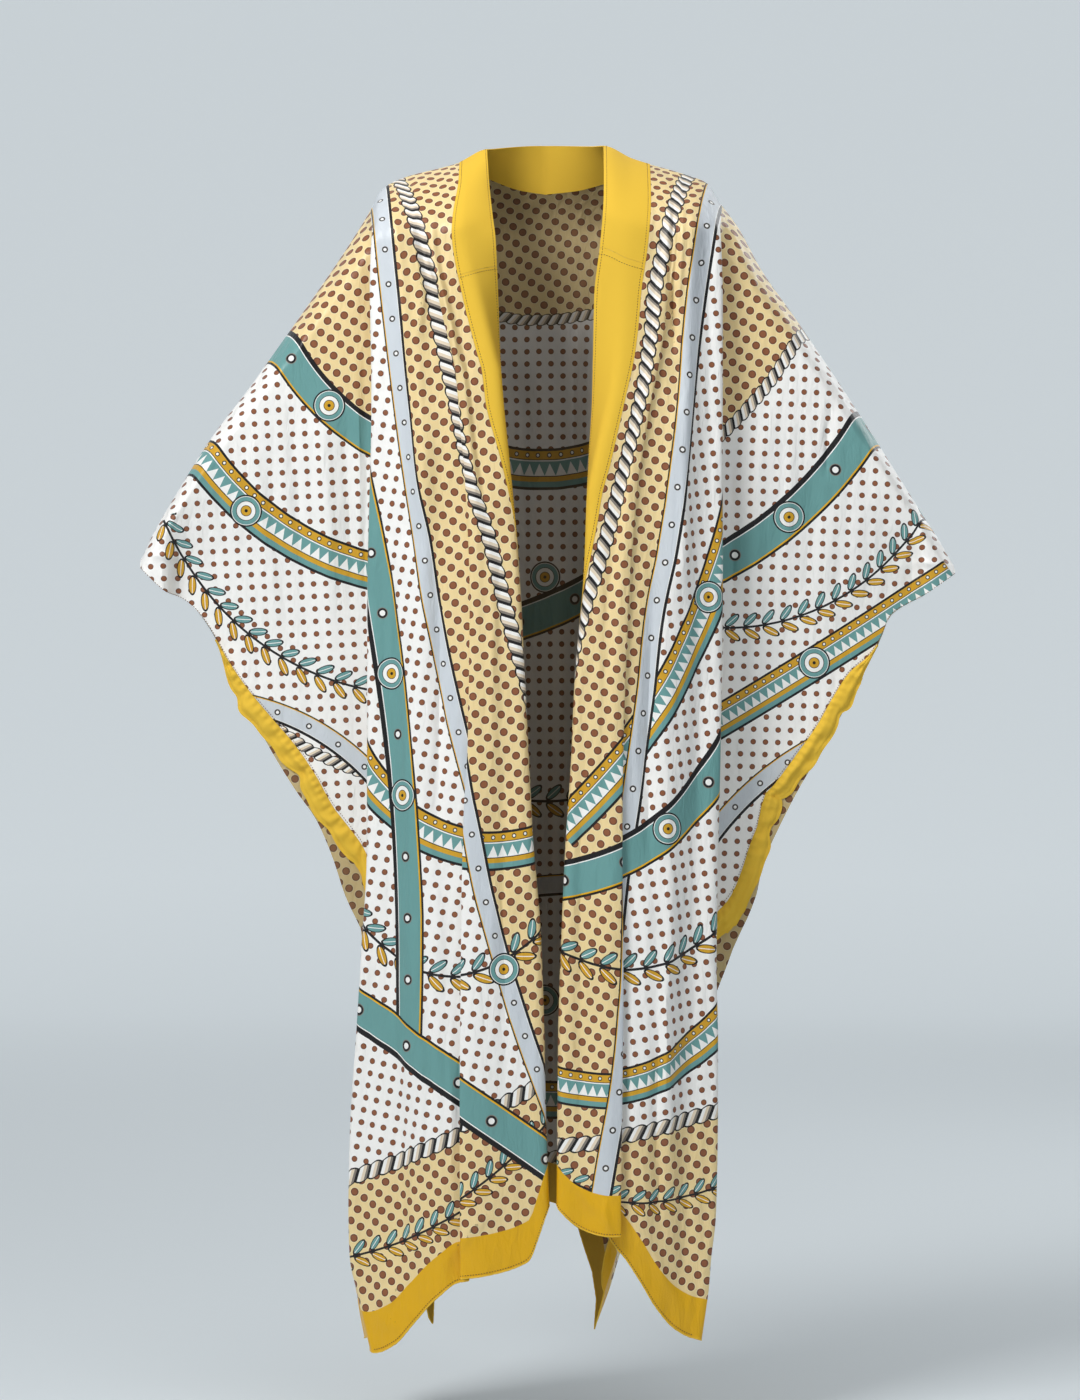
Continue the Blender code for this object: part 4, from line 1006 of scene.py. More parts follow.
OUTER_RINGS = ((0.58, "black"), (0.62, "teal"), (0.86, "white"), (0.9, "black"), (1, None))


class Nodes:
    """Adds nodes to a tree and wires them: an input is a socket, a colour's name or a plain value."""

    def __init__(self, tree, colours=None):
        self.tree, self.colours = tree, colours

    def add(self, kind, inputs, **settings):
        node = self.tree.nodes.new("ShaderNode" + kind)
        for name, value in settings.items():
            setattr(node, name, value)
        for key, value in inputs.items():
            if isinstance(value, bpy.types.NodeSocket):
                self.tree.links.new(value, node.inputs[key])
            else:
                named = isinstance(value, str)
                node.inputs[key].default_value = getattr(self.colours, value) if named else value
        return node

    def math(self, operation, *values):
        return self.add("Math", dict(enumerate(values)), operation=operation).outputs[0]

    def vector(self, operation, *values):
        node = self.add("VectorMath", dict(enumerate(values)), operation=operation)
        return node.outputs["Value" if operation in ("LENGTH", "DISTANCE") else "Vector"]

    def join(self, x, y, z=0.0):
        return self.add("CombineXYZ", {0: x, 1: y, 2: z}).outputs[0]

    def split(self, vector):
        return self.add("SeparateXYZ", {0: vector}).outputs

    def placed(self, vector, place, turn, size):
        """The vector as seen from a frame at that place, turned and with that size."""
        inputs = {"Vector": vector, "Location": (*place, 0), "Rotation": (0, 0, turn), "Scale": (*size, 1)}
        return self.add("Mapping", inputs, vector_type="TEXTURE").outputs[0]

    def mix(self, share, first, second):
        return self.add("Mix", {0: share, 6: first, 7: second}, data_type="RGBA").outputs[2]

    def pick(self, share, first, second):
        return self.add("Mix", {0: share, 4: first, 5: second}, data_type="VECTOR").outputs[1]

    def ramp(self, at, stops):
        """Colour and cover along a row of stops; a stop with no colour is clear."""
        node = self.add("ValToRGB", {0: at})
        ramp = node.color_ramp
        ramp.interpolation = "CONSTANT"
        for k, (position, name) in enumerate(stops):
            element = ramp.elements[k] if k < 2 else ramp.elements.new(position)
            element.position = position
            element.color = getattr(self.colours, name) if name else (0, 0, 0, 0)
        return node.outputs

    def over(self, ground, drawing):
        """Lays a drawing over the ground, where its cover says so."""
        return self.mix(drawing[1], ground, drawing[0])


def circle_through(start, middle, end):
    """The centre and radius of the arc through three points, its middle angle and half its span."""
    (ax, ay), (bx, by), (cx, cy) = ((x, -drop) for x, drop in (start, middle, end))
    d = 2 * (ax * (by - cy) + bx * (cy - ay) + cx * (ay - by))
    a, b, c = ax * ax + ay * ay, bx * bx + by * by, cx * cx + cy * cy
    x = (a * (by - cy) + b * (cy - ay) + c * (ay - by)) / d
    y = (a * (cx - bx) + b * (ax - cx) + c * (bx - ax)) / d
    turn = math.atan2((ay + cy) / 2 - y, (ax + cx) / 2 - x)
    radius = math.hypot(ax - x, ay - y)
    half = math.asin(min(1, math.hypot(cx - ax, cy - ay) / 2 / radius))
    if (bx - x) * math.cos(turn) + (by - y) * math.sin(turn) < 0:
        turn += math.pi
    return (x, y), radius, turn, half


def on_a_hole(place, ribbons):
    """The place itself, or a strap's hole where one is near, so that a rosette covers the hole."""
    chosen, least = place, HOLE_REACH
    for ribbon in ribbons:
        if ribbon.kind == "strap":
            (x, y), radius, turn, _ = circle_through(ribbon.start, ribbon.middle, ribbon.end)
            step = HOLE_STEP * ribbon.width / radius
            angle = math.remainder(math.atan2(-place[1] - y, place[0] - x) - turn, 2 * math.pi)
            angle = turn + round(angle / step) * step
            hole = (x + radius * math.cos(angle), -y - radius * math.sin(angle))
            if math.dist(hole, place) < least:
                chosen, least = hole, math.dist(hole, place)
    return chosen


def dotted(nodes, at, dots, stops):
    """Rows of dots on a slanting lattice."""
    cell = nodes.placed(at, (0, 0), math.radians(dots.slant), (dots.across, dots.down))
    cell = nodes.vector("SUBTRACT", nodes.vector("FRACTION", cell), (0.5, 0.5, 0))
    away = nodes.vector("LENGTH", nodes.vector("MULTIPLY", cell, (dots.across, dots.down, 0)))
    return nodes.ramp(nodes.math("DIVIDE", away, dots.radius * DOT_HALO), stops)


def along_ribbons(nodes, at, ribbons, kind):
    """Where a point is on the ribbons of one kind: across, along and shade, and whether it is on one."""
    where, on = None, None
    for ribbon in ribbons:
        if ribbon.kind != kind:
            continue
        centre, radius, turn, half = circle_through(ribbon.start, ribbon.middle, ribbon.end)
        size = ribbon.width / 2
        local = nodes.placed(at, centre, turn, (size, size))
        across = nodes.math("SUBTRACT", nodes.vector("LENGTH", local), radius / size)
        x, y, _ = nodes.split(local)
        angle = nodes.math("ARCTAN2", y, x)
        inside = nodes.math("COMPARE", angle, 0.0, half)
        inside = nodes.math("MULTIPLY", inside, nodes.math("COMPARE", across, 0.0, 1.0))
        here = nodes.join(across, nodes.math("MULTIPLY", angle, radius / size), float(ribbon.shade))
        where = here if where is None else nodes.pick(inside, where, here)
        on = inside if on is None else nodes.math("MAXIMUM", on, inside)
    return (*nodes.split(where), on) if where else None


def repeated(nodes, along, step, across):
    """The place in one cell of a motif that repeats along a ribbon."""
    return nodes.join(nodes.math("WRAP", along, step, -step), across)


def strap(nodes, across, along, shade):
    """A plain flat ribbon with dark outlines and a row of ringed holes."""
    base = nodes.ramp(nodes.math("MULTIPLY", shade, SHADE_STEP), STRAP_SHADES)[0]
    drawn = nodes.over(base, nodes.ramp(nodes.math("MULTIPLY_ADD", across, 0.5, 0.5), STRAP_EDGES))
    hole = repeated(nodes, along, HOLE_STEP, across)
    return nodes.over(drawn, nodes.ramp(nodes.vector("LENGTH", hole), STRAP_RINGS)), None


def striped(nodes, across, along, _shade):
    """A ribbon of stripes, with a row of triangles and a row of studs."""
    level = nodes.math("MULTIPLY_ADD", across, 0.5, 0.5)
    drawn = nodes.ramp(level, LOW_STRIPES + HIGH_STRIPES)[0]
    peaks = nodes.math("PINGPONG", along, TRIANGLE_STEP)
    peaks = nodes.math("MULTIPLY_ADD", peaks, TRIANGLE_RISE, TRIANGLE_FOOT)
    in_row = nodes.math("COMPARE", level, *TRIANGLE_ROW)
    in_row = nodes.math("MULTIPLY", nodes.math("LESS_THAN", level, peaks), in_row)
    drawn = nodes.mix(in_row, drawn, "teal")
    stud = nodes.join(nodes.math("WRAP", along, STUD_STEP, -STUD_STEP), nodes.math("ADD", across, STUD_ROW))
    return nodes.over(drawn, nodes.ramp(nodes.vector("LENGTH", stud), STUDS)), None


def rope(nodes, across, along, _shade):
    """A twisted cord."""
    turn = nodes.math("MULTIPLY_ADD", along, TWIST, nodes.math("MULTIPLY", across, TWIST_SLANT))
    turn = nodes.math("FRACT", turn)
    drawn = nodes.ramp(turn, STRANDS)[0]
    bulge = nodes.math("SINE", nodes.math("MULTIPLY", turn, math.pi))
    bulge = nodes.math("MULTIPLY_ADD", bulge, STRAND_BULGE, STRAND)
    rim = nodes.math("ABSOLUTE", across)
    rim = nodes.math("GREATER_THAN", rim, nodes.math("SUBTRACT", bulge, STRAND_RIM))
    drawn = nodes.mix(rim, drawn, "black")
    return drawn, nodes.math("LESS_THAN", nodes.math("ABSOLUTE", across), bulge)


def leaf(nodes, across, along, _shade):
    """A stem with pairs of leaves."""
    level = nodes.math("ABSOLUTE", across)
    cell = repeated(nodes, along, LEAF_STEP, level)
    blade = nodes.placed(cell, LEAF_PLACE, math.radians(LEAF_TURN), LEAF_SIZE)
    vein = nodes.math("LESS_THAN", nodes.math("ABSOLUTE", nodes.split(blade)[1]), VEIN)
    side = nodes.mix(nodes.math("GREATER_THAN", across, 0.0), "teal", "mustard")
    side = nodes.mix(vein, side, "white")
    bound = nodes.vector("LENGTH", blade)
    drawn = nodes.mix(nodes.math("GREATER_THAN", bound, LEAF_INSIDE), side, "black")
    stem = nodes.math("LESS_THAN", level, STEM)
    drawn = nodes.mix(stem, drawn, "black")
    return drawn, nodes.math("MAXIMUM", stem, nodes.math("LESS_THAN", bound, 1.0))


KINDS = {"leaf": leaf, "rope": rope, "striped": striped, "strap": strap}


def ground_of_print(nodes, at, region):
    """The dotted grounds of a region: beige, and white on the far side of the ribbons that bound it."""
    beige = nodes.over("beige", dotted(nodes, at, DOTS_ON_BEIGE, DOT_ON_BEIGE))
    white = nodes.over("white", dotted(nodes, at, DOTS_ON_WHITE[region], DOT_ON_WHITE))
    ground, is_white = GROUNDS[region], None
    for index in ground.ribbons:
        ribbon = RIBBONS[region][index]
        centre, radius, _, _ = circle_through(ribbon.start, ribbon.middle, ribbon.end)
        within = math.hypot(ground.inside[0] - centre[0], -ground.inside[1] - centre[1]) < radius
        away = nodes.vector("DISTANCE", at, (*centre, 0))
        this_side = nodes.math("LESS_THAN" if within else "GREATER_THAN", away, radius)
        is_white = this_side if is_white is None else nodes.math("MULTIPLY", is_white, this_side)
    return nodes.mix(is_white, beige, white)


def rosettes(nodes, at, region):
    """Round medallions of rings."""
    away = None
    for x, drop in (on_a_hole(place, RIBBONS[region]) for place in ROSETTES[region]):
        here = nodes.vector("DISTANCE", at, (x, -drop, 0))
        away = here if away is None else nodes.math("MINIMUM", away, here)
    return nodes.ramp(nodes.math("DIVIDE", away, ROSETTE_RADIUS), INNER_RINGS + OUTER_RINGS)


def printed(region, colours, border):
    """The node group that draws one region of the print, on the cloth's own map."""
    tree = bpy.data.node_groups.new(f"print_{region}", "ShaderNodeTree")
    tree.interface.new_socket("Colour", in_out="OUTPUT", socket_type="NodeSocketColor")
    nodes = Nodes(tree, colours)
    at = nodes.vector("SCALE", nodes.add("UVMap", {}, uv_map="cloth").outputs[0])
    at.node.inputs["Scale"].default_value = 1 / MM
    drawn = ground_of_print(nodes, at, region)
    for kind, draw in KINDS.items():
        found = along_ribbons(nodes, at, RIBBONS[region], kind)
        if found:
            across, along, shade, on = found
            colour, cover = draw(nodes, across, along, shade)
            drawn = nodes.mix(nodes.math("MULTIPLY", on, cover) if cover else on, drawn, colour)
    drawn = nodes.over(drawn, rosettes(nodes, at, region))
    hem = nodes.add("Attribute", {}, attribute_name="hem_distance").outputs["Fac"]
    drawn = nodes.mix(nodes.math("LESS_THAN", hem, border), drawn, "gold")
    tree.links.new(drawn, tree.nodes.new("NodeGroupOutput").inputs[0])
    return tree


def joined_back():
    """Both halves of the back as one sheet, from the right wrist to the left one."""
    right, left = cloth_sheet("right", "back"), cloth_sheet("left", "back")
    middle = right.normals[:, :1] + left.normals[:, :1]
    middle[..., 0] = 0
    normals = np.concatenate([right.normals[:, :0:-1], unit(middle), left.normals[:, 1:]], axis=1)
    places = np.concatenate([-right.places[:0:-1], left.places])
    joined = {
        name: np.concatenate([getattr(right, name)[:, :0:-1], getattr(left, name)], axis=1)
        for name in ("points", "drop", "u", "v", "hem_distance")
    }
    return Sheet(normals=normals, places=places, rows=left.rows, **joined)


def used_cells(sheet):
    """The cells of a sheet that are cloth: below the underarm, only those inside the side seams."""
    inmost = np.minimum(np.abs(sheet.places[1:]), np.abs(sheet.places[:-1]))
    return (inmost < SIDE_SEAM - TINY)[None] | (sheet.rows[:-1] < UNDERARM - TINY)[:, None]


def print_map(sheet):
    return np.stack([sheet.u, -sheet.v], axis=-1)


def open_seam(points, seam, beside, gap=SEAM_GAP / 2):
    """Draws an edge of a piece back from its seam, towards the points beside it."""
    points[seam] += unit(points[beside] - points[seam]) * gap


def strip_map(points):
    """Lays a band out flat: how far across it each point is, and how far along."""
    across = run_along(points.swapaxes(0, 1)).T
    along = run_along(points[:, points.shape[1] // 2])
    return np.stack([across, np.broadcast_to(along[:, None], across.shape)], axis=-1)


def print_regions(sheet):
    """Which region of the print each cell has: 0 on the body, and 1 and 2 on the sleeves."""
    middle = (sheet.places[1:] + sheet.places[:-1]) / 2
    sleeve = np.where(middle < -PRINT_BREAK, 2, np.where(middle > PRINT_BREAK, 1, 0))
    return np.where((sheet.rows[:-1] < UNDERARM - TINY)[:, None], sleeve[None], 0)


def cloth(name, sheet, thickness, finishes):
    """A piece of printed cloth, from all of a sheet's cells that are cloth."""
    used, flat, regions = used_cells(sheet), print_map(sheet), print_regions(sheet)
    skin = (sheet.points, sheet.normals, used)
    return wall(name, *skin, thickness, finishes, flat, sheet.hem_distance, regions)


def coat_front(side, thickness, finishes):
    whole = cloth_sheet(side, "front")
    seam = nearest(whole.places, BAND_SEAM)
    cut = {name: getattr(whole, name)[..., seam:] for name in ("places", "drop", "u", "v", "hem_distance")}
    sheet = whole._replace(points=whole.points[:, seam:].copy(), normals=whole.normals[:, seam:], **cut)
    open_seam(sheet.points, np.s_[:, 0], np.s_[:, 1])
    return cloth(f"coat_front_{side}", sheet, thickness, finishes)


def gold_strip(name, points, normals, thickness, finish):
    """A band from a whole grid of points, with a map that runs across it and along it."""
    used = np.ones((points.shape[0] - 1, points.shape[1] - 1), bool)
    return wall(name, points, normals, used, thickness, [finish], strip_map(points))


def band_part(side, upper):
    """A band's grid above or below its cross seam, from its free edge to its seam: points and normals."""
    sheet = cloth_sheet(side, "front")
    seam = nearest(sheet.places, BAND_SEAM) + 1
    cross = sheet.rows <= CROSS_SEAM[side] if upper else sheet.rows >= CROSS_SEAM[side]
    points, normals = sheet.points[cross][:, :seam].copy(), sheet.normals[cross][:, :seam].copy()
    if upper:
        points, normals = points[::-1], normals[::-1]
    open_seam(points, np.s_[:, -1], np.s_[:, -2])
    open_seam(points, np.s_[0], np.s_[1])
    return points, normals


def behind_neck(side, share, top, cells):
    """A line across the neck band behind the neck, from its free edge to its seam, with normals facing in."""
    sheet = cloth_sheet(side, "back")
    column = nearest(sheet.places, CENTRE_BACK + share)
    seam, at_seam = sheet.points[0, column], sheet.normals[0, column]
    turn = math.pi / 2 * (1 - share)
    rise = top[2] + (COLLAR_RISE - top[2]) * math.sin(turn) ** 2
    edge = np.array([top[0] * math.cos(turn), (seam[1] - COLLAR_LEAN) * math.sin(turn), rise])
    way = unit(edge - seam)
    across = unit(at_seam - way * np.dot(at_seam, way))
    seam = seam + way * SEAM_GAP
    return [between(edge, seam, t) for t in np.linspace(0, 1, cells + 1)], [across] * cells + [at_seam]


def neck_band(thickness, finish):
    """The band from one cross seam, over the shoulder and round the back neck, to the other cross seam."""
    right, left = band_part("right", upper=True), band_part("left", upper=True)
    cells, lines = FRONT_STRETCHES["band"].cells, BACK_STRETCHES["yoke"].cells
    behind = [behind_neck("right", k / lines, right[0][-1, 0], cells) for k in range(lines - 1, -1, -1)]
    behind += [behind_neck("left", k / lines, left[0][-1, 0], cells) for k in range(1, lines)]
    points = np.concatenate([right[0], [line for line, _ in behind], left[0][::-1]])
    normals = np.concatenate([right[1], [line for _, line in behind], left[1][::-1]])
    return gold_strip("gold_neck_band", points, normals, thickness, finish)


def small_waves(wave, far, t):
    """Small waves in a gathered band, which drift, lean across it, and swell and fade along it."""
    swell = wave.steady + (1 - wave.steady) * np.sin(far / wave.swell_length + wave.swell_start)
    drift = wave.drift * np.sin(far / wave.drift_length)
    return wave.height * np.sin(far / wave.length + drift + wave.lean * t) * swell


def sleeve_line(side):
    """The sleeve's stitched line, between the side fold and the wrist, and the way out of the sleeve."""
    sheet = cloth_sheet(side, "front")
    places = SIDE_SEAM + np.linspace(0, SLEEVE_BAND_SPAN, SLEEVE_BAND_LINES)[::-1]
    line = np.stack([np.interp(places, sheet.places, way) for way in sheet.points[UPPER_ROWS].T], axis=-1)
    run = np.gradient(line, axis=0)
    outward = unit(np.stack([run[:, 2], 0 * run[:, 1], -run[:, 0]], axis=-1))
    return line, outward * -np.sign(outward[:, 2:])


def sleeve_band(side, thickness, finish):
    """The puffed strip outside the sleeve's stitched line, pinched here and there, to the side fold."""
    line, outward = sleeve_line(side)
    far = run_along(line)[:, None]
    down = np.array([0, 0, -1]) / np.maximum(-outward[:, 2:], LEAST_FALL)
    outward = between(outward, down, ease(1 - (far[-1] - far) / SLEEVE_BAND_TUCK))
    k = np.linspace(0, SLEEVE_BAND_WAVES, SLEEVE_BAND_LINES)[:, None]
    t = np.linspace(0, 1, SLEEVE_BAND_CELLS + 1)[None]
    pinch = sum(np.exp(-(((far - at) / PINCH_WIDTH) ** 2)) for at in PINCHES[side])
    width = between(SLEEVE_BAND_TIP, 1, ease(k / SLEEVE_BAND_TAPER)) * (1 - PINCH_NARROWS * pinch)
    uneven = 1 + sum(height * np.sin(far / length + start) for height, length, start in WIDTH_WAVES)
    wave = (1 + SLEEVE_BAND_WAVE * np.cos(SLEEVE_BAND_WAVE_TURN * k)) * (1 - PINCH_FLATTENS * pinch)
    puff = SLEEVE_BAND_PUFF * wave * np.sin(math.pi * np.minimum(t * SLEEVE_BAND_CROWN, 1))
    at_seam = np.exp(-((t / GATHER_REACH) ** 2)) * np.minimum(t * GATHER_START, 1)
    creases = small_waves(CROSS_CREASES, far, t) + small_waves(LONG_CREASES, far, t)
    puff = puff + small_waves(GATHERS, far, t) * at_seam + creases * np.clip(np.sin(math.pi * t), 0, 1)
    points = line[:, None] + outward[:, None] * (SEAM_GAP + SLEEVE_BAND_WIDTH * width * uneven * t)[..., None]
    points[..., 1] -= puff
    points[:, 0, 1] = line[:, 1]
    normals = unit(np.cross(np.gradient(points, axis=1), np.gradient(points, axis=0)))
    normals = normals * np.sign(normals[..., 1:2])
    return gold_strip(f"gold_sleeve_band_{side}", points, normals, thickness, finish)


def new_finish(name, values):
    """A material whose shader has those values, what adds its nodes, and its shader's inputs."""
    made = bpy.data.materials.new(name)
    made.use_nodes = True
    inputs = made.node_tree.nodes["Principled BSDF"].inputs
    for key, value in values.items():
        inputs[key].default_value = value
    return made, Nodes(made.node_tree), inputs


def satin(name, colour, look, wrong_side=False):
    """Thin satin in a plain colour, or in the colour that a print group draws."""
    values = {
        "Roughness": look.wrong_roughness if wrong_side else look.roughness,
        "Specular IOR Level": WRONG_SPECULAR if wrong_side else SPECULAR,
        "Sheen Weight": SHEEN,
        "Sheen Roughness": SHEEN_ROUGHNESS,
    }
    made, nodes, shader = new_finish(name, values)
    if isinstance(colour, bpy.types.NodeTree):
        group = nodes.tree.nodes.new("ShaderNodeGroup")
        group.node_tree = colour
        drawn = group.outputs[0]
        # The wrong side is dimmed towards a dark brown: partly the duller wrong side, partly painted shade of
        # the coat's inside
        if wrong_side:
            drawn = nodes.mix(look.wrong_dim_and_shade, drawn, WRONG_SIDE_DULL_AND_SHADE_TINT)
        nodes.tree.links.new(drawn, shader["Base Color"])
    else:
        shader["Base Color"].default_value = colour
    place = nodes.add("TexCoord", {}).outputs["Object"]
    weave = nodes.add("TexNoise", {"Vector": place, "Scale": WEAVE_SCALE, "Detail": 1.0}).outputs[0]
    waves = nodes.placed(place, (0, 0), 0.0, (1.0, 1.0))
    waves.node.inputs["Scale"].default_value = SOFT_WAVE
    soft = nodes.add("TexNoise", {"Vector": waves, "Scale": 1.0, "Detail": 2.0}).outputs[0]
    finer = {"Vector": waves, "Scale": FINE_WAVE_SCALE, "Detail": 2.0, "Distortion": FINE_WAVE_TWIST}
    height = nodes.math("MULTIPLY_ADD", nodes.add("TexNoise", finer).outputs[0], FINE_WAVE_SHARE, soft)
    height = nodes.math("MULTIPLY_ADD", weave, WEAVE_SHARE, height)
    bump = nodes.add("Bump", {"Strength": look.crumple, "Distance": WAVE_HEIGHT, "Height": height})
    nodes.tree.links.new(bump.outputs["Normal"], shader["Normal"])
    return made


def plain_satin(context, name, shade):
    """Satin in one of the coat's colours, made once and then used again."""
    colour = (*getattr(context.scene.coat_colours, shade), 1.0)
    return bpy.data.materials.get(name) or satin(name, colour, context.scene.coat_cloth)


def print_materials(context, regions):
    """For each region of the print, its right side and its wrong side."""
    look = context.scene.coat_cloth
    colours = Shades(*((*getattr(context.scene.coat_colours, name), 1.0) for name in Shades._fields))
    made = []
    for region in regions:
        group = printed(region, colours, look.border)
        made += [satin(f"satin_{region}", group, look), satin(f"satin_{region}_wrong", group, look, True)]
    return made


def trim(made):
    """Fixes a small piece to the coat."""
    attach(made, "root")


def settle(made, node):
    """Fixes a main piece to the coat, in the place of its solid."""
    trim(made)
    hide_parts(node)


def number_property(name, description, default, low, high, **kind):
    kind.update(min=low, max=high)
    return bpy.props.FloatProperty(name=name, description=description, default=default, **kind)


def length_property(name, description, default, low, high):
    return number_property(name, description, default, low, high, unit="LENGTH")


def share_property(name, description, default, high=1.0):
    return number_property(name, description, default, 0.0, high, subtype="FACTOR")


def colour_property(name, description, default):
    kind = {"min": 0.0, "max": 1.0, "subtype": "COLOR"}
    return bpy.props.FloatVectorProperty(name=name, description=description, default=default, **kind)


class CoatCloth(bpy.types.PropertyGroup):
    """Sizes and finish of the cloth"""

    thickness: length_property("Cloth", "Thickness of the printed satin", 0.0005, 0.0002, 0.001)
    band: length_property("Band", "Thickness of the doubled band", 0.0012, 0.0004, 0.0016)
    hem: length_property("Rolled hem", "Half thickness of the rolled hems", 0.0009, 0.0003, 0.0014)
    stitch: length_property("Stitch", "Length of one machine stitch", 0.0022, 0.001, 0.004)
    border: length_property("Hem border", "Height of the plain border along the hem", 0.047, 0.0, 0.1)
    roughness: share_property("Roughness", "How dull the right side of the satin is", 0.36)
    wrong_roughness: share_property("Wrong side roughness", "How dull the wrong side is", 0.7)
    # How far the wrong side goes towards its dark tint: partly the duller wrong side, partly painted shade of
    # the coat's inside
    wrong_dim_and_shade: share_property("Wrong side shade", "How far the print is dimmed on the wrong side", 0.45)
    crumple: share_property("Crumple", "Strength of the smallest waves in the cloth", 0.7)


class CoatColours(bpy.types.PropertyGroup):
    """Colours of the print, the bands and the thread; the thread is dark enough to paint the shade of the
    puckers along the stitching too
    """

    gold: colour_property("Gold", "Bands and hem border", (0.775, 0.425, 0.006))
    beige: colour_property("Beige", "Warm ground of the print", (0.86, 0.67, 0.335))
    white: colour_property("White", "Light ground of the print", (0.93, 0.915, 0.885))
    brown: colour_property("Brown", "Middle of the dots", (0.28, 0.10, 0.043))
    dark_brown: colour_property("Dark brown", "Rim of the dots", (0.15, 0.052, 0.026))
    light: colour_property("Light", "Fine halo round the dots", (0.93, 0.78, 0.48))
    teal: colour_property("Teal", "Ribbons of the print", (0.15, 0.34, 0.33))
    pale: colour_property("Pale grey", "Ribbons of the print", (0.62, 0.66, 0.70))
    grey: colour_property("Grey", "Ribbons of the print", (0.36, 0.37, 0.38))
    shadow: colour_property("Shadow", "Shading in the print", (0.24, 0.21, 0.18))
    cream: colour_property("Cream", "Cords of the print", (0.80, 0.68, 0.52))
    mustard: colour_property("Mustard", "Stripes of the print", (0.66, 0.36, 0.024))
    black: colour_property("Black", "Outlines of the print", (0.012, 0.011, 0.012))
    # Partly the thread's own colour, partly painted shade of the puckers beside the stitching
    thread: colour_property("Thread", "Machine stitches", (0.17, 0.075, 0.02))


class CoatStage(bpy.types.PropertyGroup):
    """Floor, lights and camera"""

    floor: length_property("Floor", "Drop of the floor below the neck", 1.50, 1.42, 1.8)
    distance: length_property("Distance", "Distance of the camera", 5.40, 2.0, 12.0)
    height: length_property("Drop", "Drop of the camera below the neck", 0.648, 0.0, 1.4)
    lens: number_property("Lens", "Focal length", 118.7, 20.0, 300.0, unit="CAMERA")
    key: number_property("Main light", "Power of the main light", 116.0, 0.0, 400.0, unit="POWER")
    fill: number_property("Fill light", "Power of the softer lights", 17.0, 0.0, 400.0, unit="POWER")
    room: share_property("Room light", "Brightness of the room", 0.23, 3.0)
    paper: colour_property("Backdrop", "Floor and backdrop", (0.63, 0.675, 0.70))


def evenly(path, step):
    """Points at even steps along a path."""
    path = np.asarray(path, float)
    length = run_along(path)
    at = np.linspace(0, length[-1], max(2, int(length[-1] / step) + 1))
    return np.stack([np.interp(at, length, way) for way in path.T], axis=-1)


def line_object(name, path, radii=None):
    """A curve through points given in millimetres."""
    data = bpy.data.curves.new(name, "CURVE")
    data.dimensions = "3D"
    spline = data.splines.new("POLY")
    spline.points.add(len(path) - 1)
    for k, (point, at) in enumerate(zip(spline.points, np.asarray(path) * MM)):
        point.co = (*at, 1.0)
        point.radius = 1.0 if radii is None else float(radii[k])
    return new_object(name, data)


def alone(made):
    bpy.ops.object.select_all(action="DESELECT")
    made.select_set(True)
    bpy.context.view_layer.objects.active = made


def uneven(count, fast, slow, start):
    """Waves along a row of so many steps, which swell and fade."""
    k = np.arange(count)
    return np.sin(fast * k) * np.sin(slow * k + start)


def rolled_hem(name, path, radius, finish):
    """A thin rolled edge, slightly puckered by its stitches."""
    path = evenly(path, HEM_STEP)
    radii = 1 + HEM_PUCKER * uneven(len(path), *HEM_PUCKER_TURNS)
    path[:, 1] += HEM_WAVE * uneven(len(path), *HEM_WAVE_TURNS)
    made = line_object(name, path, radii)
    made.data.bevel_depth = radius
    made.data.bevel_resolution = 1
    made.data.use_fill_caps = True
    alone(made)
    bpy.ops.object.convert(target="MESH")
    made = bpy.context.object
    made.data.shade_smooth()
    made.data.materials.clear()
    made.data.materials.append(finish)
    return made


def stitches(name, path, length, finish):
    """A row of machine stitches along a path: one stitch, repeated and laid along the line."""
    line = line_object(f"{name}_line", evenly(path, STITCH_PATH_STEP))
    bpy.ops.object.select_all(action="DESELECT")
    bpy.ops.mesh.primitive_uv_sphere_add(segments=6, ring_count=4, radius=0.5)
    made = bpy.context.object
    made.name = made.data.name = name
    made.scale = (length, STITCH_WIDTH, STITCH_WIDTH)
    bpy.ops.object.transform_apply(location=False, rotation=False, scale=True)
    row = made.modifiers.new("row", "ARRAY")
    row.fit_type = "FIT_CURVE"
    row.curve = line
    row.use_relative_offset = False
    row.use_constant_offset = True
    row.constant_offset_displace = (STITCH_PITCH, 0, 0)
    laid = made.modifiers.new("laid", "CURVE")
    laid.object = line
    alone(made)
    bpy.ops.object.modifier_apply(modifier=row.name)
    bpy.ops.object.modifier_apply(modifier=laid.name)
    bpy.data.objects.remove(line, do_unlink=True)
    made.data.shade_smooth()
    made.data.materials.append(finish)
    return made


def on_cloth(sheet, rows, columns, lift):
    """Points of a sheet moved off its outer skin."""
    return sheet.points[rows, columns] - sheet.normals[rows, columns] * lift


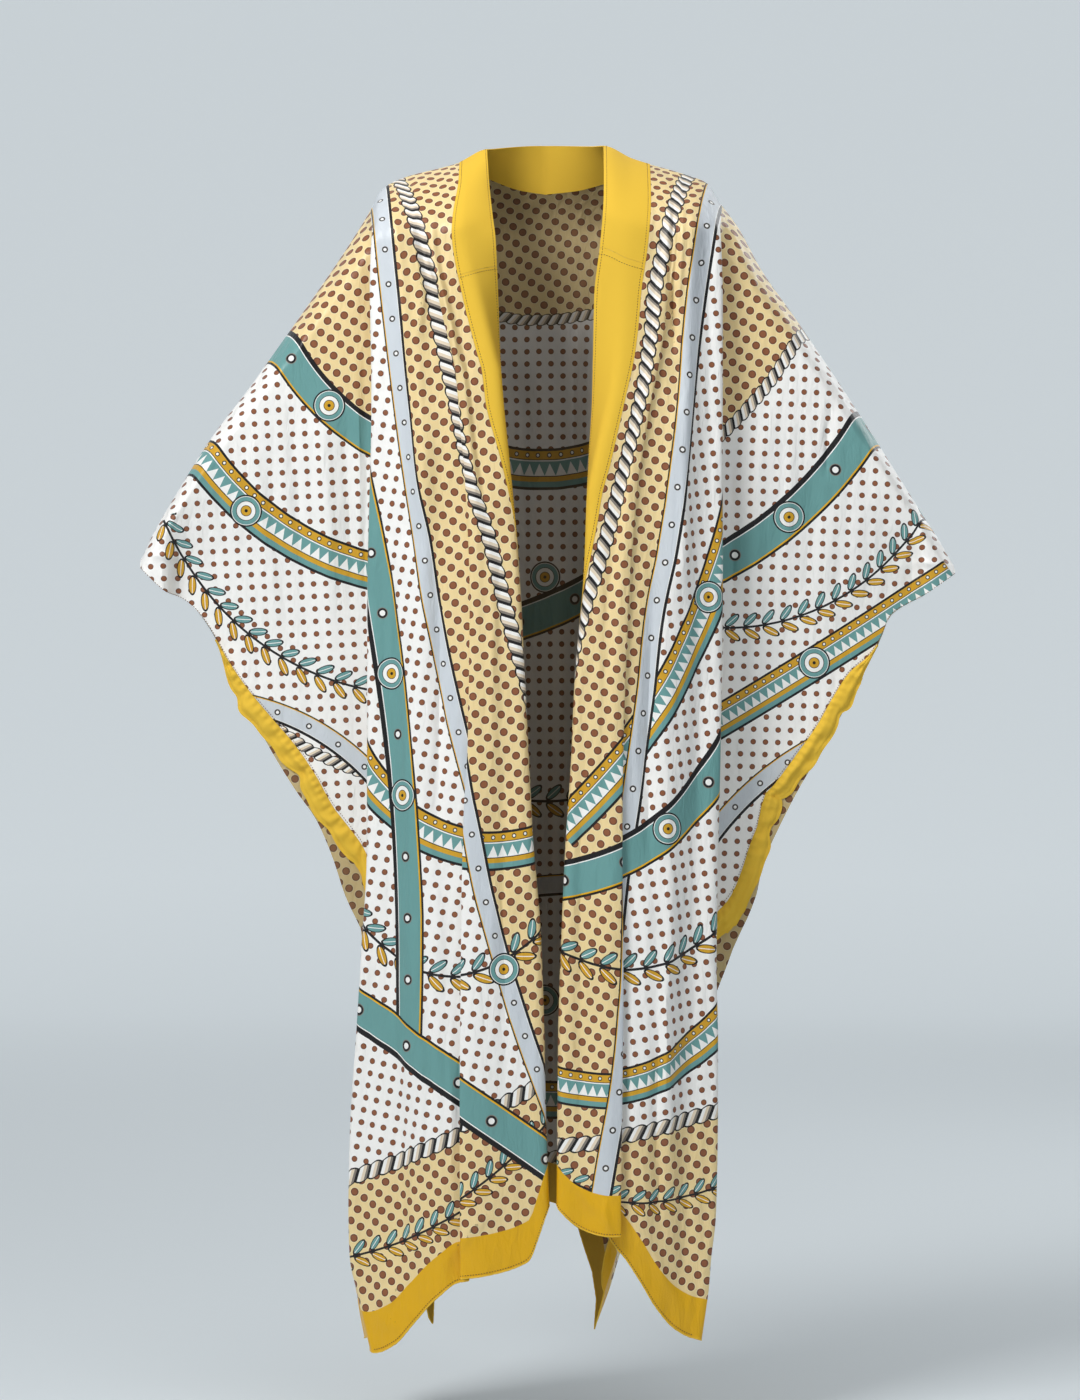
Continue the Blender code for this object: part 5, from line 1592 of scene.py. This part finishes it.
def sewn_lines(side, sizes):
    """Each row of stitches on one side of the coat: its name, its path and the length of its stitches."""
    front, on_band = cloth_sheet(side, "front"), sizes.band / MM / 2
    off_cloth = sizes.thickness / MM / 2 + HEM_STITCH_LIFT
    for name, place in BAND_STITCHES.items():
        path = on_cloth(front, np.s_[:-1], nearest(front.places, place), on_band)
        yield f"{name}_{side}", path, sizes.stitch
    seam = nearest(front.rows, CROSS_SEAM[side]) + 1
    yield f"cross_{side}", on_cloth(front, seam, front.places <= BAND_SEAM, on_band), sizes.stitch
    sleeve = front.places > SIDE_SEAM
    edge, above = (on_cloth(front, row, sleeve, SLEEVE_STITCH_LIFT) for row in (UPPER_ROWS, UPPER_ROWS - 1))
    yield f"sleeve_{side}", between(edge, above, SLEEVE_STITCH_SHARE), sizes.stitch
    for face, start in HEM_STARTS.items():
        sheet = cloth_sheet(side, face)
        shown = (sheet.places >= start) & (sheet.places <= SIDE_FOLD)
        edge, above = (on_cloth(sheet, row, shown, off_cloth) for row in (-1, -2))
        path = between(edge, above, HEM_STITCH_SHARE)
        yield f"hem_{face}_{side}", path, HEM_STITCH


class COAT_OT_fronts(bpy.types.Operator):
    """Makes both printed fronts, each with its half of the sleeve"""

    bl_idname = "coat.fronts"
    bl_label = "Fronts"

    def execute(self, context):
        cloth_sizes = context.scene.coat_cloth
        for side in SIDES:
            finishes = print_materials(context, [f"body_{side}", f"sleeve_{side}"])
            made = coat_front(side, cloth_sizes.thickness / MM, finishes)
            settle(made, f"front_{side}")
        return {"FINISHED"}


class COAT_OT_back(bpy.types.Operator):
    """Makes the printed back with both half sleeves"""

    bl_idname = "coat.back"
    bl_label = "Back"

    def execute(self, context):
        finishes = print_materials(context, ["back", "back_sleeve_left", "back_sleeve_right"])
        made = cloth("coat_back", joined_back(), context.scene.coat_cloth.thickness / MM, finishes)
        settle(made, "back")
        return {"FINISHED"}


class COAT_OT_bands(bpy.types.Operator):
    """Makes the neck band and the bands down both fronts"""

    bl_idname = "coat.bands"
    bl_label = "Neck and front bands"

    def execute(self, context):
        gold, thickness = plain_satin(context, "gold_satin", "gold"), context.scene.coat_cloth.band / MM
        for side in SIDES:
            made = gold_strip(f"gold_band_{side}", *band_part(side, upper=False), thickness, gold)
            settle(made, f"front_band_{side}")
        made = neck_band(thickness, gold)
        settle(made, "neck_band")
        return {"FINISHED"}


class COAT_OT_sleeve_bands(bpy.types.Operator):
    """Makes the puffed bands along the lower edges of the sleeves"""

    bl_idname = "coat.sleeve_bands"
    bl_label = "Sleeve bands"

    def execute(self, context):
        gold = plain_satin(context, "gold_satin", "gold")
        for side in SIDES:
            made = sleeve_band(side, context.scene.coat_cloth.thickness / MM, gold)
            settle(made, f"sleeve_band_{side}")
        return {"FINISHED"}


class COAT_OT_hems(bpy.types.Operator):
    """Rolls the hems of the fronts, the back and the sleeves, which are made first"""

    bl_idname = "coat.hems"
    bl_label = "Rolled hems"

    def execute(self, context):
        gold, white = plain_satin(context, "gold_satin", "gold"), plain_satin(context, "white_satin", "white")
        radius = context.scene.coat_cloth.hem
        hems = {name: [] for name in CLOTH_CUTS}
        for side in SIDES:
            for face, start in HEM_STARTS.items():
                sheet = cloth_sheet(side, face)
                body = (sheet.places >= start) & (sheet.places < SIDE_SEAM + TINY)
                low = rolled_hem(f"hem_{face}_{side}", sheet.points[-1, body], radius, gold)
                edge = sheet.points[: UPPER_ROWS + 1, -1]
                wrist = rolled_hem(f"hem_wrist_{face}_{side}", edge, radius * WRIST_ROLL, white)
                trim(low)
                trim(wrist)
                hems["coat_back" if face == "back" else f"coat_front_{side}"] += [low, wrist]
        for name, (width, length, area) in CLOTH_CUTS.items():
            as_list(hems[name])
        return {"FINISHED"}


class COAT_OT_stitching(bpy.types.Operator):
    """Sews the edges and seams of the bands, the sleeve bands and the hems"""

    bl_idname = "coat.stitching"
    bl_label = "Stitching"

    def execute(self, context):
        # The stitches' dark colour also paints the shade of the puckers along the seams
        finish = plain_satin(context, "thread", "thread")
        for side in SIDES:
            for name, path, length in sewn_lines(side, context.scene.coat_cloth):
                trim(stitches(f"stitches_{name}", path, length, finish))
        return {"FINISHED"}


def pick_edges(made, wanted):
    """Opens an object for editing, with those of its edges picked whose points are all wanted."""
    bpy.ops.object.mode_set(mode="OBJECT")
    for edge in made.data.edges:
        edge.select = all(wanted(made.data.vertices[end].co) for end in edge.vertices)
    bpy.ops.object.mode_set(mode="EDIT")


def floor_and_backdrop(stage):
    """A floor that sweeps up into a backdrop."""
    bpy.ops.object.select_all(action="DESELECT")
    middle = FLOOR_BACK - FLOOR_SIZE / 2
    bpy.ops.mesh.primitive_plane_add(size=FLOOR_SIZE, location=(0, middle, -stage.floor))
    made = bpy.context.object
    made.name = "floor"
    bpy.ops.object.mode_set(mode="EDIT")
    bpy.ops.mesh.select_all(action="DESELECT")
    bpy.ops.mesh.select_mode(type="EDGE")
    pick_edges(made, lambda place: place.y > 0)
    bpy.ops.mesh.extrude_region_move(TRANSFORM_OT_translate={"value": (0, 0, BACKDROP_HEIGHT)})
    pick_edges(made, lambda place: place.y > 0 and place.z < TINY)
    bpy.ops.mesh.bevel(offset=SWEEP, segments=SWEEP_CELLS)
    bpy.ops.object.mode_set(mode="OBJECT")
    bpy.ops.object.transform_apply(location=True, rotation=False, scale=False)
    made.data.shade_smooth()
    made.data.materials.append(backdrop_paper(stage))
    return made


def backdrop_paper(stage):
    """Pale paper that glows more towards the back, so that the backdrop is even."""
    colour = (*stage.paper, 1.0)
    values = {"Base Color": colour, "Roughness": PAPER_ROUGHNESS, "Emission Color": colour}
    paper, nodes, shader = new_finish("backdrop", values)
    behind = nodes.split(nodes.add("TexCoord", {}).outputs["Object"])[1]
    span = {"From Min": GLOW_START, "From Max": GLOW_END, "To Min": FLOOR_GLOW, "To Max": BACKDROP_GLOW}
    glow = nodes.add("MapRange", {"Value": behind, **span})
    nodes.tree.links.new(glow.outputs[0], shader["Emission Strength"])
    return paper


def studio_light(stage, light):
    """A wide soft lamp that points at its aim."""
    lamp = bpy.data.lights.new(light.name, "AREA")
    lamp.shape = "RECTANGLE"
    lamp.size, lamp.size_y = light.width, light.height
    lamp.energy = getattr(stage, light.power) * light.share
    made = new_object(light.name, lamp)
    made.location = light.place
    way = Vector(light.aim) - Vector(light.place)
    made.rotation_euler = way.to_track_quat("-Z", "Y").to_euler()


class COAT_OT_stage(bpy.types.Operator):
    """Sets the floor, the lights and the camera"""

    bl_idname = "coat.stage"
    bl_label = "Stage"

    def execute(self, context):
        stage = context.scene.coat_stage
        floor_and_backdrop(stage)
        for light in LIGHTS:
            studio_light(stage, light)
        world = bpy.data.worlds.new("studio")
        world.use_nodes = True
        room = world.node_tree.nodes["Background"]
        room.inputs["Color"].default_value = ROOM_COLOUR
        room.inputs["Strength"].default_value = stage.room
        context.scene.world = world
        context.scene.view_settings.view_transform = "Standard"
        lens = bpy.data.cameras.new("camera")
        lens.lens = stage.lens
        camera = new_object("camera", lens)
        camera.location = (CAMERA_SIDE, -stage.distance + CAMERA_AIM_DEPTH, -stage.height)
        camera.rotation_euler = (math.pi / 2, 0, 0)
        context.scene.camera = camera
        return {"FINISHED"}


STEPS = (
    COAT_OT_fronts,
    COAT_OT_back,
    COAT_OT_bands,
    COAT_OT_sleeve_bands,
    COAT_OT_hems,
    COAT_OT_stitching,
    COAT_OT_stage,
)


class COAT_PT_sidebar(bpy.types.Panel):
    """Lists the coat's pieces with their sizes and colours"""

    bl_idname = "COAT_PT_sidebar"
    bl_label = "Kimono Coat"
    bl_space_type = "VIEW_3D"
    bl_region_type = "UI"
    bl_category = "Coat"

    def draw(self, context):
        for step in STEPS:
            self.layout.operator(step.bl_idname)
        for group in (context.scene.coat_cloth, context.scene.coat_colours, context.scene.coat_stage):
            column = self.layout.column(align=True)
            for name in group.__annotations__:
                column.prop(group, name)


CLASSES = (CoatCloth, CoatColours, CoatStage, *STEPS, COAT_PT_sidebar)


def register():
    for made in CLASSES:
        bpy.utils.register_class(made)
    bpy.types.Scene.coat_cloth = bpy.props.PointerProperty(type=CoatCloth)
    bpy.types.Scene.coat_colours = bpy.props.PointerProperty(type=CoatColours)
    bpy.types.Scene.coat_stage = bpy.props.PointerProperty(type=CoatStage)


def unregister():
    del bpy.types.Scene.coat_stage, bpy.types.Scene.coat_colours, bpy.types.Scene.coat_cloth
    for made in reversed(CLASSES):
        bpy.utils.unregister_class(made)


def main():
    register()
    bpy.ops.coat.fronts()
    bpy.ops.coat.back()
    bpy.ops.coat.bands()
    bpy.ops.coat.sleeve_bands()
    bpy.ops.coat.hems()
    bpy.ops.coat.stitching()
    bpy.ops.coat.stage()


if __name__ == "__main__":
    main()
